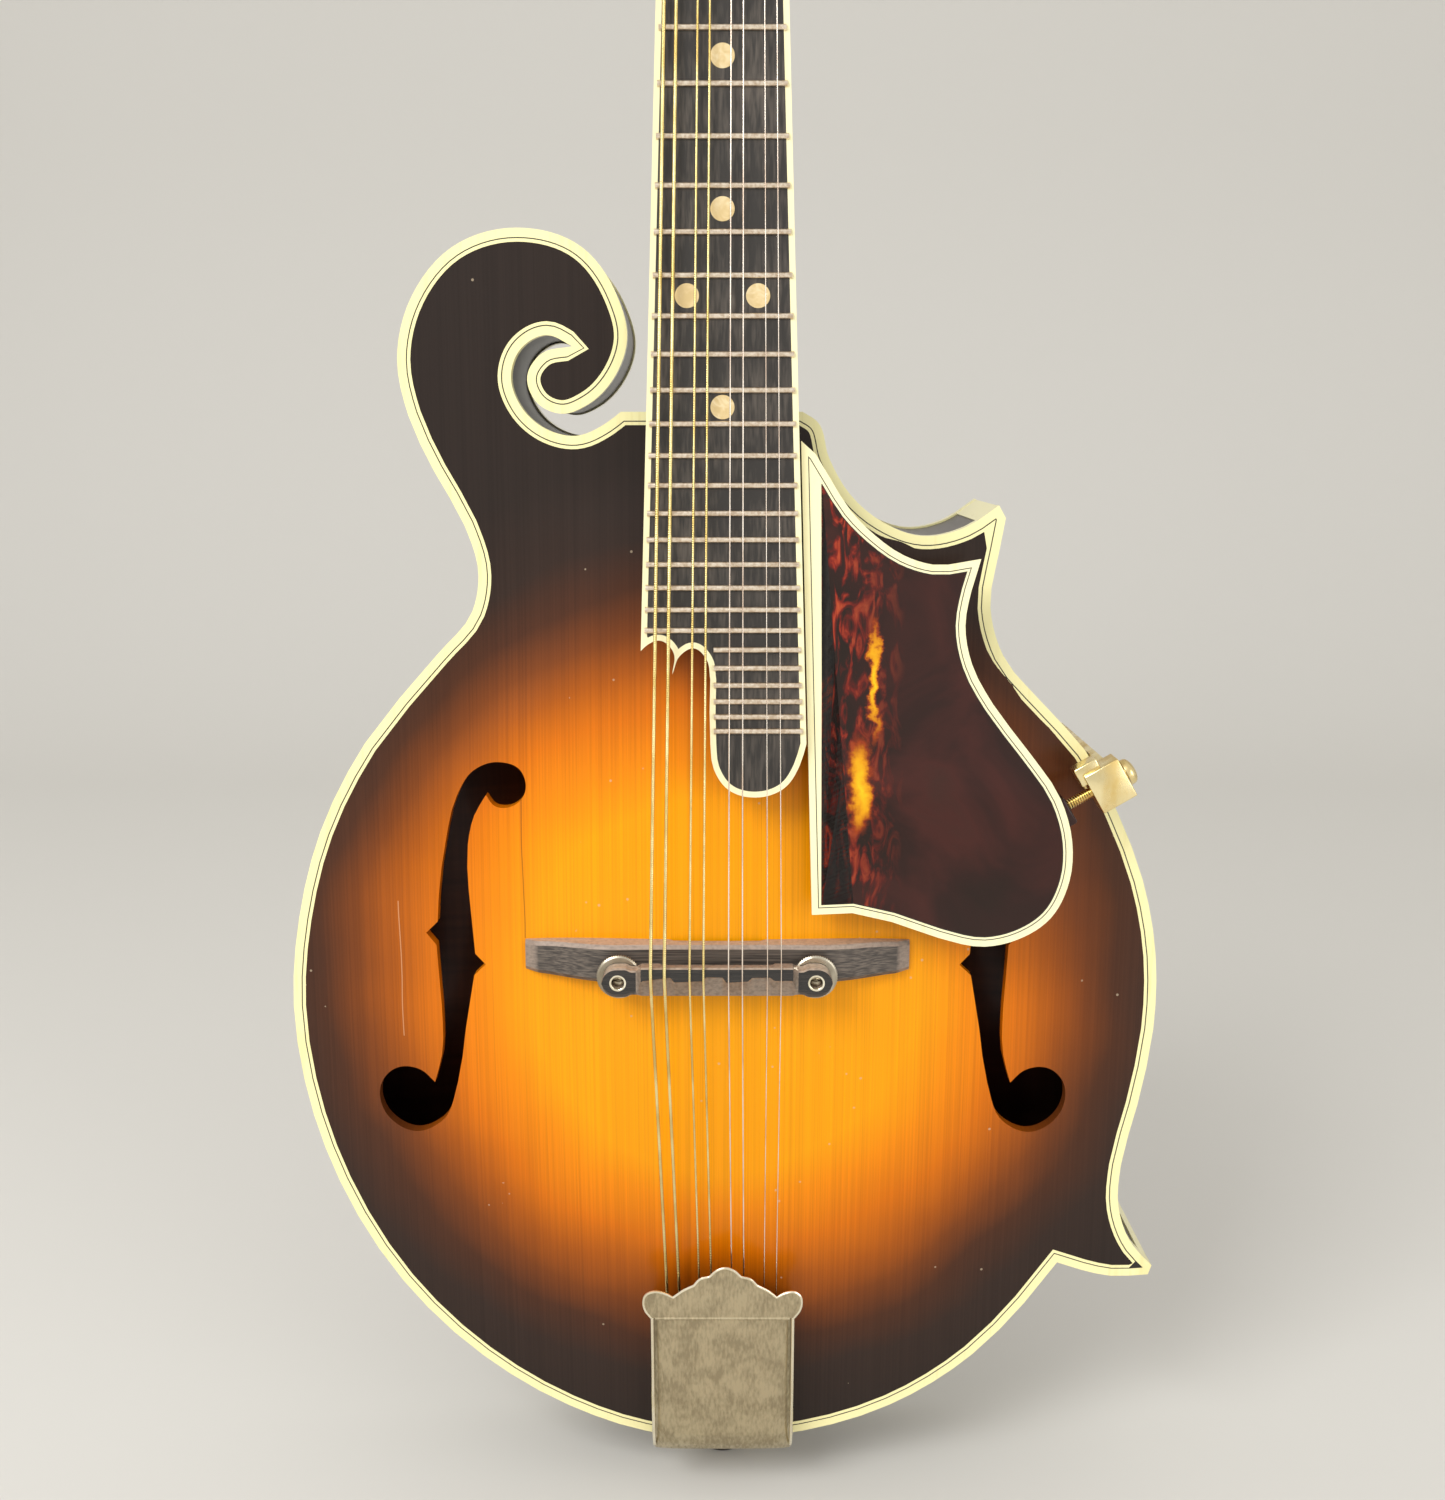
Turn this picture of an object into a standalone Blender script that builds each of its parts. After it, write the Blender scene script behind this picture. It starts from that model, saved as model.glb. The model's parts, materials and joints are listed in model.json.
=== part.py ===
"""A scroll-bodied, carved-top mandolin as an assembly of separate solids.

Frame: metres, +Z runs from the end pin towards the headstock, +X is the treble side and the
soundboard faces -Y.  The origin is the centre of the end pin's flat outer face.
"""
from math import atan2, ceil, cos, pi, radians, sin, tan

import bmesh
import bpy
import numpy as np
from mathutils import Matrix, Vector

MM = 0.001
GAP = 0.0003                      # left between pieces that touch
ARCH_GAP = 0.0006                 # the same against a carved plate, whose surface is faceted

# ---- driving dimensions ---------------------------------------------------------------------
SCALE_LENGTH = 0.3524             # nut to saddle crest
FRET_COUNT = 29
SHORT_FRET = 24                   # from this fret on, frets cross the treble extension only
BODY_WIDTH = 0.255
BODY_LENGTH = 0.3635              # tail to the top of the scroll
BODY_DEPTH = 0.046                # over both plates, at the rim
PLATE = 0.004                     # thickness of the carved plates
TOP_ARCH = 0.0155
BACK_ARCH = 0.013
FLAT_MARGIN = 0.009               # flat border of a plate, inside its outline
RIB = 0.0022                      # thickness of the bent sides
RIB_INSET = 0.0005                # sides stand this far inside the binding's face
BINDING = 0.0024                  # width of the body binding
PIN_REACH = 0.016                 # end pin's face to the tail of the body

PIN_STEM = 0.003
TAIL_BLOCK = (0.046, 0.016)       # across the body, and along it
TENON = (0.018, 0.030, 0.016)     # width, depth and length of the neck's tenon
BAR_WIDTH = 0.006
BAR_HEIGHT = 0.009

BOARD_ABOVE_RIM = 0.028           # fingerboard's plane above the top's rim, at the bridge
NECK_PITCH = radians(4.8)
HEAD_TILT = radians(14)
NUT_WIDTH = 0.029
BOARD_TAPER = 0.0575              # gain in width for each unit of length
BOARD = 0.0055                    # thickness of the fingerboard
BOARD_BINDING = 0.0016
FRET_WIDTH = 0.0013
FRET_HEIGHT = 0.001
FRET_SUNK = 0.0005
NUT_LENGTH = 0.005
NUT_ACTION = 0.0013               # underside of the strings above the board, at the nut

NUT_ABOVE_STRINGS = 0.0012        # nut's crown above the strings' undersides
SHAFT_DEPTH_BODY = 0.0155         # neck's depth where it leaves the heel
SHAFT_DEPTH_NUT = 0.0135
SHAFT_START = 0.06                # end of the heel, from the joint
WOOD_INSET = 0.0003               # neck's sides stand inside the board's
RISER_DEPTH = 0.0095
ROD_RADIUS = 0.0019
ROD_BELOW = 0.0103                # rod's axis below the board's plane
ROD_NUT_LENGTH = 0.007
ROD_NUT_ACROSS = 0.0032           # centre to corner
POCKET = (0.0022, 0.021)          # start and end of the rod's pocket, from the nut
POCKET_HALF = 0.0045
POCKET_DEPTH = 0.0106

# Heel from the joint: (distance, share of the body's depth, roundness of the section).
HEEL_STATIONS = ((0, 1, 0.75), (0.005, 0.86, 0.75), (0.010, 0.68, 0.75),
                 (0.016, 0.52, 0.72), (0.024, 0.40, 0.68), (0.036, 0.33, 0.62))

HEAD_DROP = 0.003                 # headplate's face below the board's plane, at the nut
HEADPLATE = 0.0019
HEAD_THICKNESS = 0.0155
TUNER_SPACING = 0.023
TUNER_FIRST = 0.034               # nut to the first pair of posts
TUNER_ROW = 0.016                 # post's axis to the centre line
POST_RADIUS = 0.003
POST_WAIST = 0.0022
POST_HEIGHT = 0.0115              # above the headplate
GEAR_TEETH = 14
GEAR_RADIUS = 0.0052
GEAR_WIDTH = 0.003
WORM_RADIUS = 0.0024
SHAFT_RADIUS = 0.0014
MACHINE_PLATE = 0.0012
EAR_SPREAD = 0.0052               # ears that carry a shaft, from the post's axis
BUTTON_START = 0.036              # centre line to the button's inner end
BUTTON_SIZE = (0.013, 0.0075, 0.015)

BRIDGE_OFFSET = -0.0015           # bridge's centre, to the bass side of the centre line
BASE_OFFSET = -0.0015             # middle of the bridge's foot, towards the tail
POST_OFFSET = -0.0040             # posts and wheels, towards the tail
CREST_ABOVE_RIM = 0.0312
BASE_LENGTH = 0.110
BASE_DEPTH = 0.0112
BASE_THICKNESS = 0.0052
SADDLE_LENGTH = 0.064
SADDLE_BOTTOM = 0.0076            # saddle's depth along the strings, at its underside
SADDLE_TOP = 0.0036
SADDLE_HEIGHT = 0.0071
BRIDGE_POST_RADIUS = 0.0019
BRIDGE_POST_SPAN = 0.055
WHEEL_RADIUS = 0.0063
WHEEL_THICKNESS = 0.0016
SADDLE_TRAVEL = 0.0015            # how far the wheels let the saddle down
SADDLE_LEAN = 0.0010              # crest's front edge, towards the nut from the underside's
SADDLE_SHOULDER = 0.0032          # height at which the saddle starts to taper
SADDLE_HOLLOW = 0.0012            # relief under the saddle's middle
SADDLE_END = 0.72                 # share of its height at the saddle's ends
WHEEL_FIT = 0.0002
POST_SEAT = 0.0034                # posts reach this far into the foot
POST_ENTRY = 0.0035               # and this far into the saddle
BASE_WAIST = 0.22                 # share by which the foot narrows at its ends
BASE_CHAMFER = 0.0011
BASE_ARCH = (0.012, 0.0012)       # half length and depth of the relief under the foot
WING = 0.0028                     # thickness of the foot's wings
WING_START = 0.62                 # where the foot thins to a wing, as a share of its half
WING_RUN = 0.3

# Compensated crest: place along the saddle as a share of its half, and the back edge's shift
# in millimetres.
SADDLE_STEPS = ((-1.0, 0), (-0.86, 0), (-0.30, -0.6), (-0.28, 0.6), (0.02, -0.6), (0.04, 0.8),
                (0.33, -0.4), (0.35, 0.6), (0.86, -0.6), (1.0, -0.6))

STRING_RADII = (0.00050, 0.00050, 0.00033, 0.00033, 0.00020, 0.00020, 0.00014, 0.00014)
STRING_NAMES = ("g_1", "g_2", "d_1", "d_2", "a_1", "a_2", "e_1", "e_2")
COURSE_AT_NUT = 0.00785
PAIR_AT_NUT = 0.0029
COURSE_AT_BRIDGE = 0.0107
PAIR_AT_BRIDGE = 0.0038
COURSE_AT_TAIL = 0.0095
PAIR_AT_TAIL = 0.0036

TAILPIECE_WIDTH = 0.0424
TAILPIECE_SHEET = 0.001
TAILPIECE_BASE = 0.0012
TAILPIECE_LENGTH = 0.068          # tail of the body to the cover's crown
BASE_STEP = 0.0022                # base's upper face above the rim, at the tail
BASE_SLOPE = 0.135                # its rise towards the bridge for each unit of length
BASE_BEND = 0.008                 # where the rise starts, from the tail
HOOK_FROM_TAIL = 0.040
HOOK_HALF = 0.0009
HOOK_HEIGHT = 0.0034
CROWN_OVERHANG = 0.0022           # crown's lobes, beyond the cover's sides
COVER_SKIRT = 0.0006              # cover's sides reach this far below the base's upper face
NOMINAL_CROWN = 0.068

# The cover from its tail end: (distance from the tail, height of its outer face over the rim).
COVER_STATIONS = (
    (-0.0010, 0.0040), (0.0010, 0.0066), (0.0045, 0.0095), (0.0090, 0.0117),
    (0.0240, 0.0146), (0.0440, 0.0164), (0.0530, 0.0172))
CROWN_STATIONS = ((0.0490, 0.01695), (0.0720, 0.0184))

# Crown of the cover in millimetres: each side's lobe as (share of the overhang, distance from
# the tail), outwards and up, then the scallops between them from bass to treble.
CROWN_LOBE = ((0.0, 52.0), (0.75, 54.0), (1.0, 56.6), (0.72, 58.9), (0.1, 59.9))
CROWN_SCALLOPS = (
    (-17.2, 59.6), (-14.6, 58.2), (-11.8, 60.4), (-8.4, 62.2), (-6.6, 64.3), (-3.8, 65.1),
    (-1.6, 67.2), (0.8, 68.0), (3.2, 67.2), (5.4, 65.1), (8.2, 64.3), (10.2, 62.2),
    (13.4, 60.4), (16.0, 58.2), (18.4, 59.6))

GUARD = 0.0026                    # thickness of the pickguard
GUARD_DROP = 0.003                # its face below the board's plane
GUARD_CLEARANCE = 0.0006          # between the guard and the fingerboard
ROD_UNDER_GUARD = 0.0034          # clamp rod's axis under the guard
ROD_BORE = 0.0019
GUARD_SCREW_RADIUS = 0.0016
GUARD_SCREW_END = -0.0185         # its inner end, from the rim
CLAMP_SPOT = (107, 51.5)          # on the drawing below
CLAMP_HEAD = 0.0045               # outer face of the clamp's head, from the rim
CLAMP_HALF = 0.005

# ---- places that follow from them -----------------------------------------------------------
NOMINAL_TAIL = 164.0              # bridge to tail on the drawing below, in millimetres
NOMINAL_WIDTH = 255.0
NOMINAL_LENGTH = 363.5
WIDTH_FACTOR = BODY_WIDTH / (NOMINAL_WIDTH * MM)
LENGTH_FACTOR = BODY_LENGTH / (NOMINAL_LENGTH * MM)
BRIDGE_Z = PIN_REACH + NOMINAL_TAIL * MM * LENGTH_FACTOR
RIM_Y = -BODY_DEPTH / 2           # plane of the top's rim; the back's is at +BODY_DEPTH / 2
BOARD_END = SCALE_LENGTH - GAP
NECK_TOP = BOARD + GAP            # wood of the neck, below the board's plane
HEAD_START = SCALE_LENGTH + NUT_LENGTH
ROD_NUT_START = HEAD_START + 0.004
POST_HOLE = (POST_RADIUS + GAP) / cos(pi / 8)   # an octagonal hole that clears the round post

# Body outline, clockwise from the neck on the treble side: (x, z) in millimetres from the
# bridge, and whether the edge turns a corner there.
BODY_OUTLINE = (
    (22, 151, True), (26, 148.5, False), (29.5, 138.5, False), (35.5, 128.5, False),
    (44.5, 121, False), (56, 117, False), (68, 119.5, False), (77, 125.5, True),
    (79, 122, True), (77.5, 113, False), (75.5, 97, False), (79.5, 83.5, False),
    (91.5, 69.5, False), (104, 56, False), (114.5, 37, False), (122.5, 17.5, False),
    (127.5, -5.5, False), (128, -28.5, False), (124.5, -52.5, False), (120.5, -72, False),
    (120.5, -86, False), (125.5, -98.5, False), (131.5, -105, True), (130.5, -108, True),
    (119, -108.5, False), (110, -106.5, False), (102.5, -104, True), (93, -117.5, False),
    (77.5, -135, False), (52, -152.5, False), (25, -161.5, False), (0, -164, False),
    (-24, -161.5, False), (-48, -152.5, False), (-74, -135.5, False), (-98, -110, False),
    (-116, -77, False), (-125, -44.5, False), (-127, -21, False), (-124, 6, False),
    (-116.5, 32, False), (-102.5, 58, False), (-81, 83.5, False), (-70.5, 96, False),
    (-68.5, 106, False), (-72, 120, False), (-80, 135, False), (-86.5, 150, False),
    (-89, 165, False), (-84.5, 181.5, False), (-73, 194.5, False), (-55.5, 199.5, False),
    (-38, 194.5, False), (-28.5, 181.5, False), (-26, 170.5, False), (-29.5, 160.5, False),
    (-37, 153, False), (-44.5, 150.5, False), (-51, 153.5, False), (-53.5, 160.5, False),
    (-49.5, 166.5, False), (-41, 168.5, True), (-48, 171.5, False), (-55, 168, False),
    (-58, 160.5, False), (-55.5, 152.5, False), (-49, 146.5, False), (-40.5, 144.5, False),
    (-32, 148, False), (-28, 151, True), (-22, 151, True),
)
TAIL_POINT = (0, -164)
HORN_BEFORE = (68, 119.5)         # where the horn's block starts and ends on the outline
HORN_AFTER = (77.5, 113)
LOWER_BEFORE = (125.5, -98.5)
LOWER_AFTER = (119, -108.5)
SCROLL_FOOT = (-72, 120)          # the head block's end on the bass side
SHOULDER = (35.5, 128.5)          # and on the treble side

# One sound hole on the bass side, from the top of its upper eye, turning by way of the outer
# edge.  The treble one is its mirror image.
F_HOLE = (
    (-64, 53.5, False), (-71.5, 50.5, False), (-76, 43.5, False), (-79.5, 30.5, False),
    (-82, 13.5, False), (-82.5, 6.5, True), (-86, 3, True), (-83, -0.5, True),
    (-82, -19, False), (-82.5, -34, False), (-85, -43, True), (-89, -39.5, False),
    (-95.5, -39, False), (-101.5, -44.5, False), (-101, -54, False), (-92.5, -59.5, False),
    (-83.5, -55.5, False), (-78, -42.5, False), (-75, -25.5, False), (-72, -9, True),
    (-68.5, -5.5, True), (-71.5, -2.5, True), (-73, 16.5, False), (-73, 29.5, False),
    (-71, 38, False), (-67.5, 44, True), (-65, 41, False), (-60, 41, False),
    (-56, 45.5, False), (-57.5, 51.5, False),
)

# Treble edge of the pickguard, clockwise from its upper tip beside the fingerboard.
GUARD_OUTLINE = (
    (25, 140.5, False), (29, 134, False), (34.5, 125.5, False), (41, 119, False),
    (49, 113.5, False), (57, 111, False), (70, 112.5, True), (67.5, 104, False),
    (66, 94.5, False), (68, 84, False), (74, 73, False), (84, 60, False),
    (93, 47, False), (96.5, 35, False), (96, 24, False), (91, 13.5, False),
    (82, 7.5, False), (73, 5.5, False), (60, 8, False), (47, 12.5, False),
    (36, 15, False),
)
GUARD_TIP = 144.0                 # ends of its straight edge, from the bridge
GUARD_FOOT = 14.5

# Bass end of the fingerboard, from the treble edge round to the bass edge.
BOARD_END_OUTLINE = (
    (21, 56.5, False), (17, 50.5, False), (9, 47.8, False), (1.5, 50, False),
    (-2.5, 56, False), (-3.3, 62.5, False), (-3.3, 80, True), (-4.3, 85.5, False),
    (-7.8, 88.5, False), (-11.5, 86.5, False), (-13.6, 81.5, True), (-13.3, 87.5, False),
    (-17, 90.6, False), (-20.5, 89.3, False),
)
BOARD_TREBLE_END = 62.5
BOARD_BASS_END = 87.8

# Headstock, clockwise from the bass side of the nut: (x, distance from the nut).
HEAD_OUTLINE = (
    (-14.5, 1.2, True), (-15.5, 7, False), (-21, 13.5, False), (-29.5, 19.5, False),
    (-33, 29, False), (-31.5, 44, False), (-29, 64, False), (-27.5, 88, False),
    (-27, 106, False), (-28.5, 119, False), (-34, 129, False), (-37, 140, False),
    (-34, 151, False), (-25, 159.5, False), (-12, 162.5, False), (0, 158, False),
    (7, 148.5, False), (14, 141, True), (21, 147.5, False), (30, 149.5, False),
    (37.5, 144.5, False), (38.5, 135.5, False), (33, 126.5, False), (28.5, 117, False),
    (27, 106, False), (27.5, 88, False), (29, 64, False), (31.5, 44, False),
    (33, 29, False), (29.5, 19.5, False), (21, 13.5, False), (15.5, 7, False),
    (14.5, 1.2, True),
)

MATERIALS = {
    "spruce_sunburst": ((0.55, 0.22, 0.05), 0.25, 0.0),
    "maple_lacquer": ((0.16, 0.05, 0.02), 0.25, 0.0),
    "bare_spruce": ((0.72, 0.54, 0.33), 0.7, 0.0),
    "bare_mahogany": ((0.34, 0.16, 0.08), 0.7, 0.0),
    "ivoroid": ((0.80, 0.70, 0.48), 0.35, 0.0),
    "ebony": ((0.05, 0.04, 0.035), 0.45, 0.0),
    "black_lacquer": ((0.01, 0.01, 0.01), 0.15, 0.0),
    "bone": ((0.78, 0.72, 0.58), 0.4, 0.0),
    "aged_nickel": ((0.55, 0.52, 0.46), 0.35, 1.0),
    "steel": ((0.55, 0.55, 0.55), 0.35, 1.0),
    "brass": ((0.75, 0.55, 0.22), 0.3, 1.0),
    "gold_plate": ((0.85, 0.62, 0.26), 0.25, 1.0),
    "tortoise": ((0.09, 0.02, 0.01), 0.2, 0.0),
    "pearl_plastic": ((0.75, 0.70, 0.60), 0.3, 0.0),
    "bronze_string": ((0.62, 0.42, 0.20), 0.35, 1.0),
    "steel_string": ((0.62, 0.62, 0.62), 0.25, 1.0),
}


# ---- scene and object helpers ---------------------------------------------------------------
def clear_scene():
    for item in list(bpy.data.objects):
        bpy.data.objects.remove(item, do_unlink=True)


def new_collection(name):
    collection = bpy.data.collections.new(name)
    bpy.context.scene.collection.children.link(collection)
    return collection


def make_material(name):
    colour, roughness, metallic = MATERIALS[name]
    material = bpy.data.materials.new(name)
    material.use_nodes = True
    shader = material.node_tree.nodes["Principled BSDF"]
    shader.inputs["Base Color"].default_value = (*colour, 1.0)
    shader.inputs["Roughness"].default_value = roughness
    shader.inputs["Metallic"].default_value = metallic
    return material


def make_frame(name, parent=None, location=(0, 0, 0), tilt=0.0):
    frame = bpy.data.objects.new(name, None)
    frame.empty_display_size = 0.02
    frame.parent = parent
    frame.location = location
    frame.rotation_euler = (tilt, 0, 0)
    parts.objects.link(frame)
    return frame


def place(name, mesh, material, parent=None, location=(0, 0, 0), rotation=(0, 0, 0)):
    """Put a mesh in the assembly as a named sub-part."""
    part = bpy.data.objects.new(name, mesh)
    mesh.materials.append(make_material(material))
    part.parent = parent
    part.location = location
    part.rotation_euler = rotation
    parts.objects.link(part)
    return part


def guide(name, mesh, parent=None, location=(0, 0, 0), rotation=(0, 0, 0)):
    """Put a mesh among the guides, where booleans use it and the build leaves it out."""
    helper = bpy.data.objects.new(name, mesh)
    helper.parent = parent
    helper.location = location
    helper.rotation_euler = rotation
    helper.hide_render = True
    helper.display_type = "WIRE"
    guides.objects.link(helper)
    return helper


def combine(part, operation, helper):
    modifier = part.modifiers.new(helper.name, "BOOLEAN")
    modifier.operation = operation
    modifier.solver = "EXACT"
    modifier.object = helper
    return part


# ---- mesh builders --------------------------------------------------------------------------
def finish_mesh(name, bm):
    bmesh.ops.recalc_face_normals(bm, faces=bm.faces)
    mesh = bpy.data.meshes.new(name)
    bm.to_mesh(mesh)
    bm.free()
    return mesh


def box(name, low, high, bevel=0.0):
    bm = bmesh.new()
    bmesh.ops.create_cube(bm, size=1.0)
    size = Vector(high) - Vector(low)
    bmesh.ops.scale(bm, verts=bm.verts, vec=size)
    bmesh.ops.translate(bm, verts=bm.verts, vec=(Vector(low) + Vector(high)) / 2)
    if bevel:
        bmesh.ops.bevel(bm, geom=bm.edges[:], offset=bevel, segments=1, affect="EDGES")
    return finish_mesh(name, bm)


def cylinder(name, radius, start, end, segments=12):
    """A closed cylinder between two points."""
    axis = Vector(end) - Vector(start)
    turn = axis.to_track_quat("Z", "Y").to_matrix().to_4x4()
    centre = Matrix.Translation((Vector(start) + Vector(end)) / 2)
    bm = bmesh.new()
    bmesh.ops.create_cone(bm, cap_ends=True, segments=segments, radius1=radius, radius2=radius,
                          depth=axis.length, matrix=centre @ turn)
    return finish_mesh(name, bm)


def prism(name, outlines, low, high, plane="XZ"):
    """Flat outlines, the first one filled and any others holes, extruded across their plane."""
    curve = bpy.data.curves.new(name, "CURVE")
    curve.dimensions = "2D"
    curve.fill_mode = "BOTH"
    curve.extrude = (high - low) / 2
    for outline in outlines:
        spline = curve.splines.new("POLY")
        spline.points.add(len(outline) - 1)
        for point, (across, along) in zip(spline.points, outline):
            point.co = (across, along, 0, 1)
        spline.use_cyclic_u = True
    drawn = bpy.data.objects.new(name, curve)
    guides.objects.link(drawn)
    mesh = bpy.data.meshes.new_from_object(drawn.evaluated_get(bpy.context.evaluated_depsgraph_get()))
    bpy.data.objects.remove(drawn)
    middle = (low + high) / 2
    turns = {
        "XZ": Matrix(((1, 0, 0, 0), (0, 0, 1, middle), (0, 1, 0, 0), (0, 0, 0, 1))),
        "XY": Matrix(((1, 0, 0, 0), (0, 1, 0, 0), (0, 0, 1, middle), (0, 0, 0, 1))),
        "ZY": Matrix(((0, 0, 1, middle), (0, 1, 0, 0), (1, 0, 0, 0), (0, 0, 0, 1))),
    }
    mesh.transform(turns[plane])
    bm = bmesh.new()
    bm.from_mesh(mesh)
    bmesh.ops.remove_doubles(bm, verts=bm.verts, dist=0.00001)
    bpy.data.meshes.remove(mesh)
    return finish_mesh(name, bm)


def loft(name, rings):
    """A closed solid through rings that hold the same number of points."""
    bm = bmesh.new()
    loops = [[bm.verts.new(point) for point in ring] for ring in rings]
    for first, second in zip(loops, loops[1:]):
        for index in range(len(first)):
            after = (index + 1) % len(first)
            bm.faces.new((first[index], first[after], second[after], second[index]))
    bmesh.ops.triangulate(bm, faces=bm.faces[:])
    bm.faces.new(loops[0])
    bm.faces.new(loops[-1])
    return finish_mesh(name, bm)


def turned(part, steps=12):
    """Spin a part's profile about its own Z axis."""
    screw = part.modifiers.new("turn", "SCREW")
    screw.axis = "Z"
    screw.steps = steps
    screw.render_steps = steps
    screw.use_merge_vertices = True
    screw.merge_threshold = 0.00001
    part.data.shade_smooth()
    return part


def profile(name, points, closed=False):
    """Edges through (radius, height) points, for a turned part: top to bottom on the outside."""
    bm = bmesh.new()
    verts = [bm.verts.new((radius, 0, height)) for radius, height in points]
    for first, second in zip(verts, verts[1:]):
        bm.edges.new((first, second))
    if closed:
        bm.edges.new((verts[-1], verts[0]))
    mesh = bpy.data.meshes.new(name)
    bm.to_mesh(mesh)
    bm.free()
    return mesh


# ---- outlines -------------------------------------------------------------------------------
def smooth_path(points, closed=True, step=radians(20)):
    """Sample a curve through the points: round where the third value is False."""
    count = len(points)
    spots = [Vector(point[:2]) for point in points]
    last = count if closed else count - 1
    path = []
    for index in range(last):
        start = spots[index]
        end = spots[(index + 1) % count]
        reach = (end - start).length / 3
        leave = (end - start).normalized()
        arrive = leave
        ends = not closed and index == 0
        if not points[index][2] and not ends:
            leave = even_tangent(spots[index - 1], start, end)
        ends = not closed and index == last - 1
        if not points[(index + 1) % count][2] and not ends:
            arrive = even_tangent(start, end, spots[(index + 2) % count])
        turn = leave.angle(end - start) + arrive.angle(end - start)
        pieces = max(1, ceil(turn / step))
        for piece in range(pieces):
            path.append(bezier_point(start, start + leave * reach, end - arrive * reach, end,
                                     piece / pieces))
    if not closed:
        path.append(spots[-1])
    return path


def even_tangent(before, point, after):
    """Direction through a point, weighted towards its nearer neighbour."""
    back = point - before
    ahead = after - point
    return (back / back.length_squared + ahead / ahead.length_squared).normalized()


def bezier_point(start, first, second, end, t):
    s = 1 - t
    return start * s ** 3 + first * 3 * s * s * t + second * 3 * s * t * t + end * t ** 3


def inset_all(path, distance):
    """Move every point of a closed clockwise path inwards, with sharp reflex corners blunted."""
    moved = []
    for index, point in enumerate(path):
        before = (point - path[index - 1]).normalized()
        after = (path[(index + 1) % len(path)] - point).normalized()
        first = Vector((before.y, -before.x))
        second = Vector((after.y, -after.x))
        reflex = before.cross(after) > 0
        mitre = (first + second) / max(1 + first.dot(second), 0.5 if reflex else 0.05)
        moved.append(point + mitre * distance)
    return moved


def inset(path, distance):
    """The same, without the points that narrow places would fold over."""
    starts = np.array([tuple(point) for point in path])
    runs = np.roll(starts, -1, axis=0) - starts
    kept = []
    for point in inset_all(path, distance):
        away = np.array(tuple(point)) - starts
        share = np.clip((away * runs).sum(axis=1) / (runs ** 2).sum(axis=1), 0, 1)
        nearest_edge = np.sqrt(((away - share[:, None] * runs) ** 2).sum(axis=1)).min()
        if nearest_edge > 0.96 * distance:
            kept.append(point)
    return kept


def body_place(path):
    """Millimetres from the bridge to metres in the model's frame."""
    return [Vector((p[0] * MM * WIDTH_FACTOR, BRIDGE_Z + p[1] * MM * LENGTH_FACTOR)) for p in path]


def stretch(path, start, end):
    """The samples of a closed path from one drawn point to another, both included."""
    first, last = (nearest(path, body_place([spot])[0]) for spot in (start, end))
    if last <= first:
        last += len(path)
    return [path[index % len(path)] for index in range(first, last + 1)]


def nearest(path, spot):
    return min(range(len(path)), key=lambda index: (path[index] - spot).length)


def shorten(path, amount):
    """Pull both ends of an open path back along itself."""
    head = path[0] + (path[1] - path[0]).normalized() * amount
    foot = path[-1] + (path[-2] - path[-1]).normalized() * amount
    return [head, *path[1:-1], foot]


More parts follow.
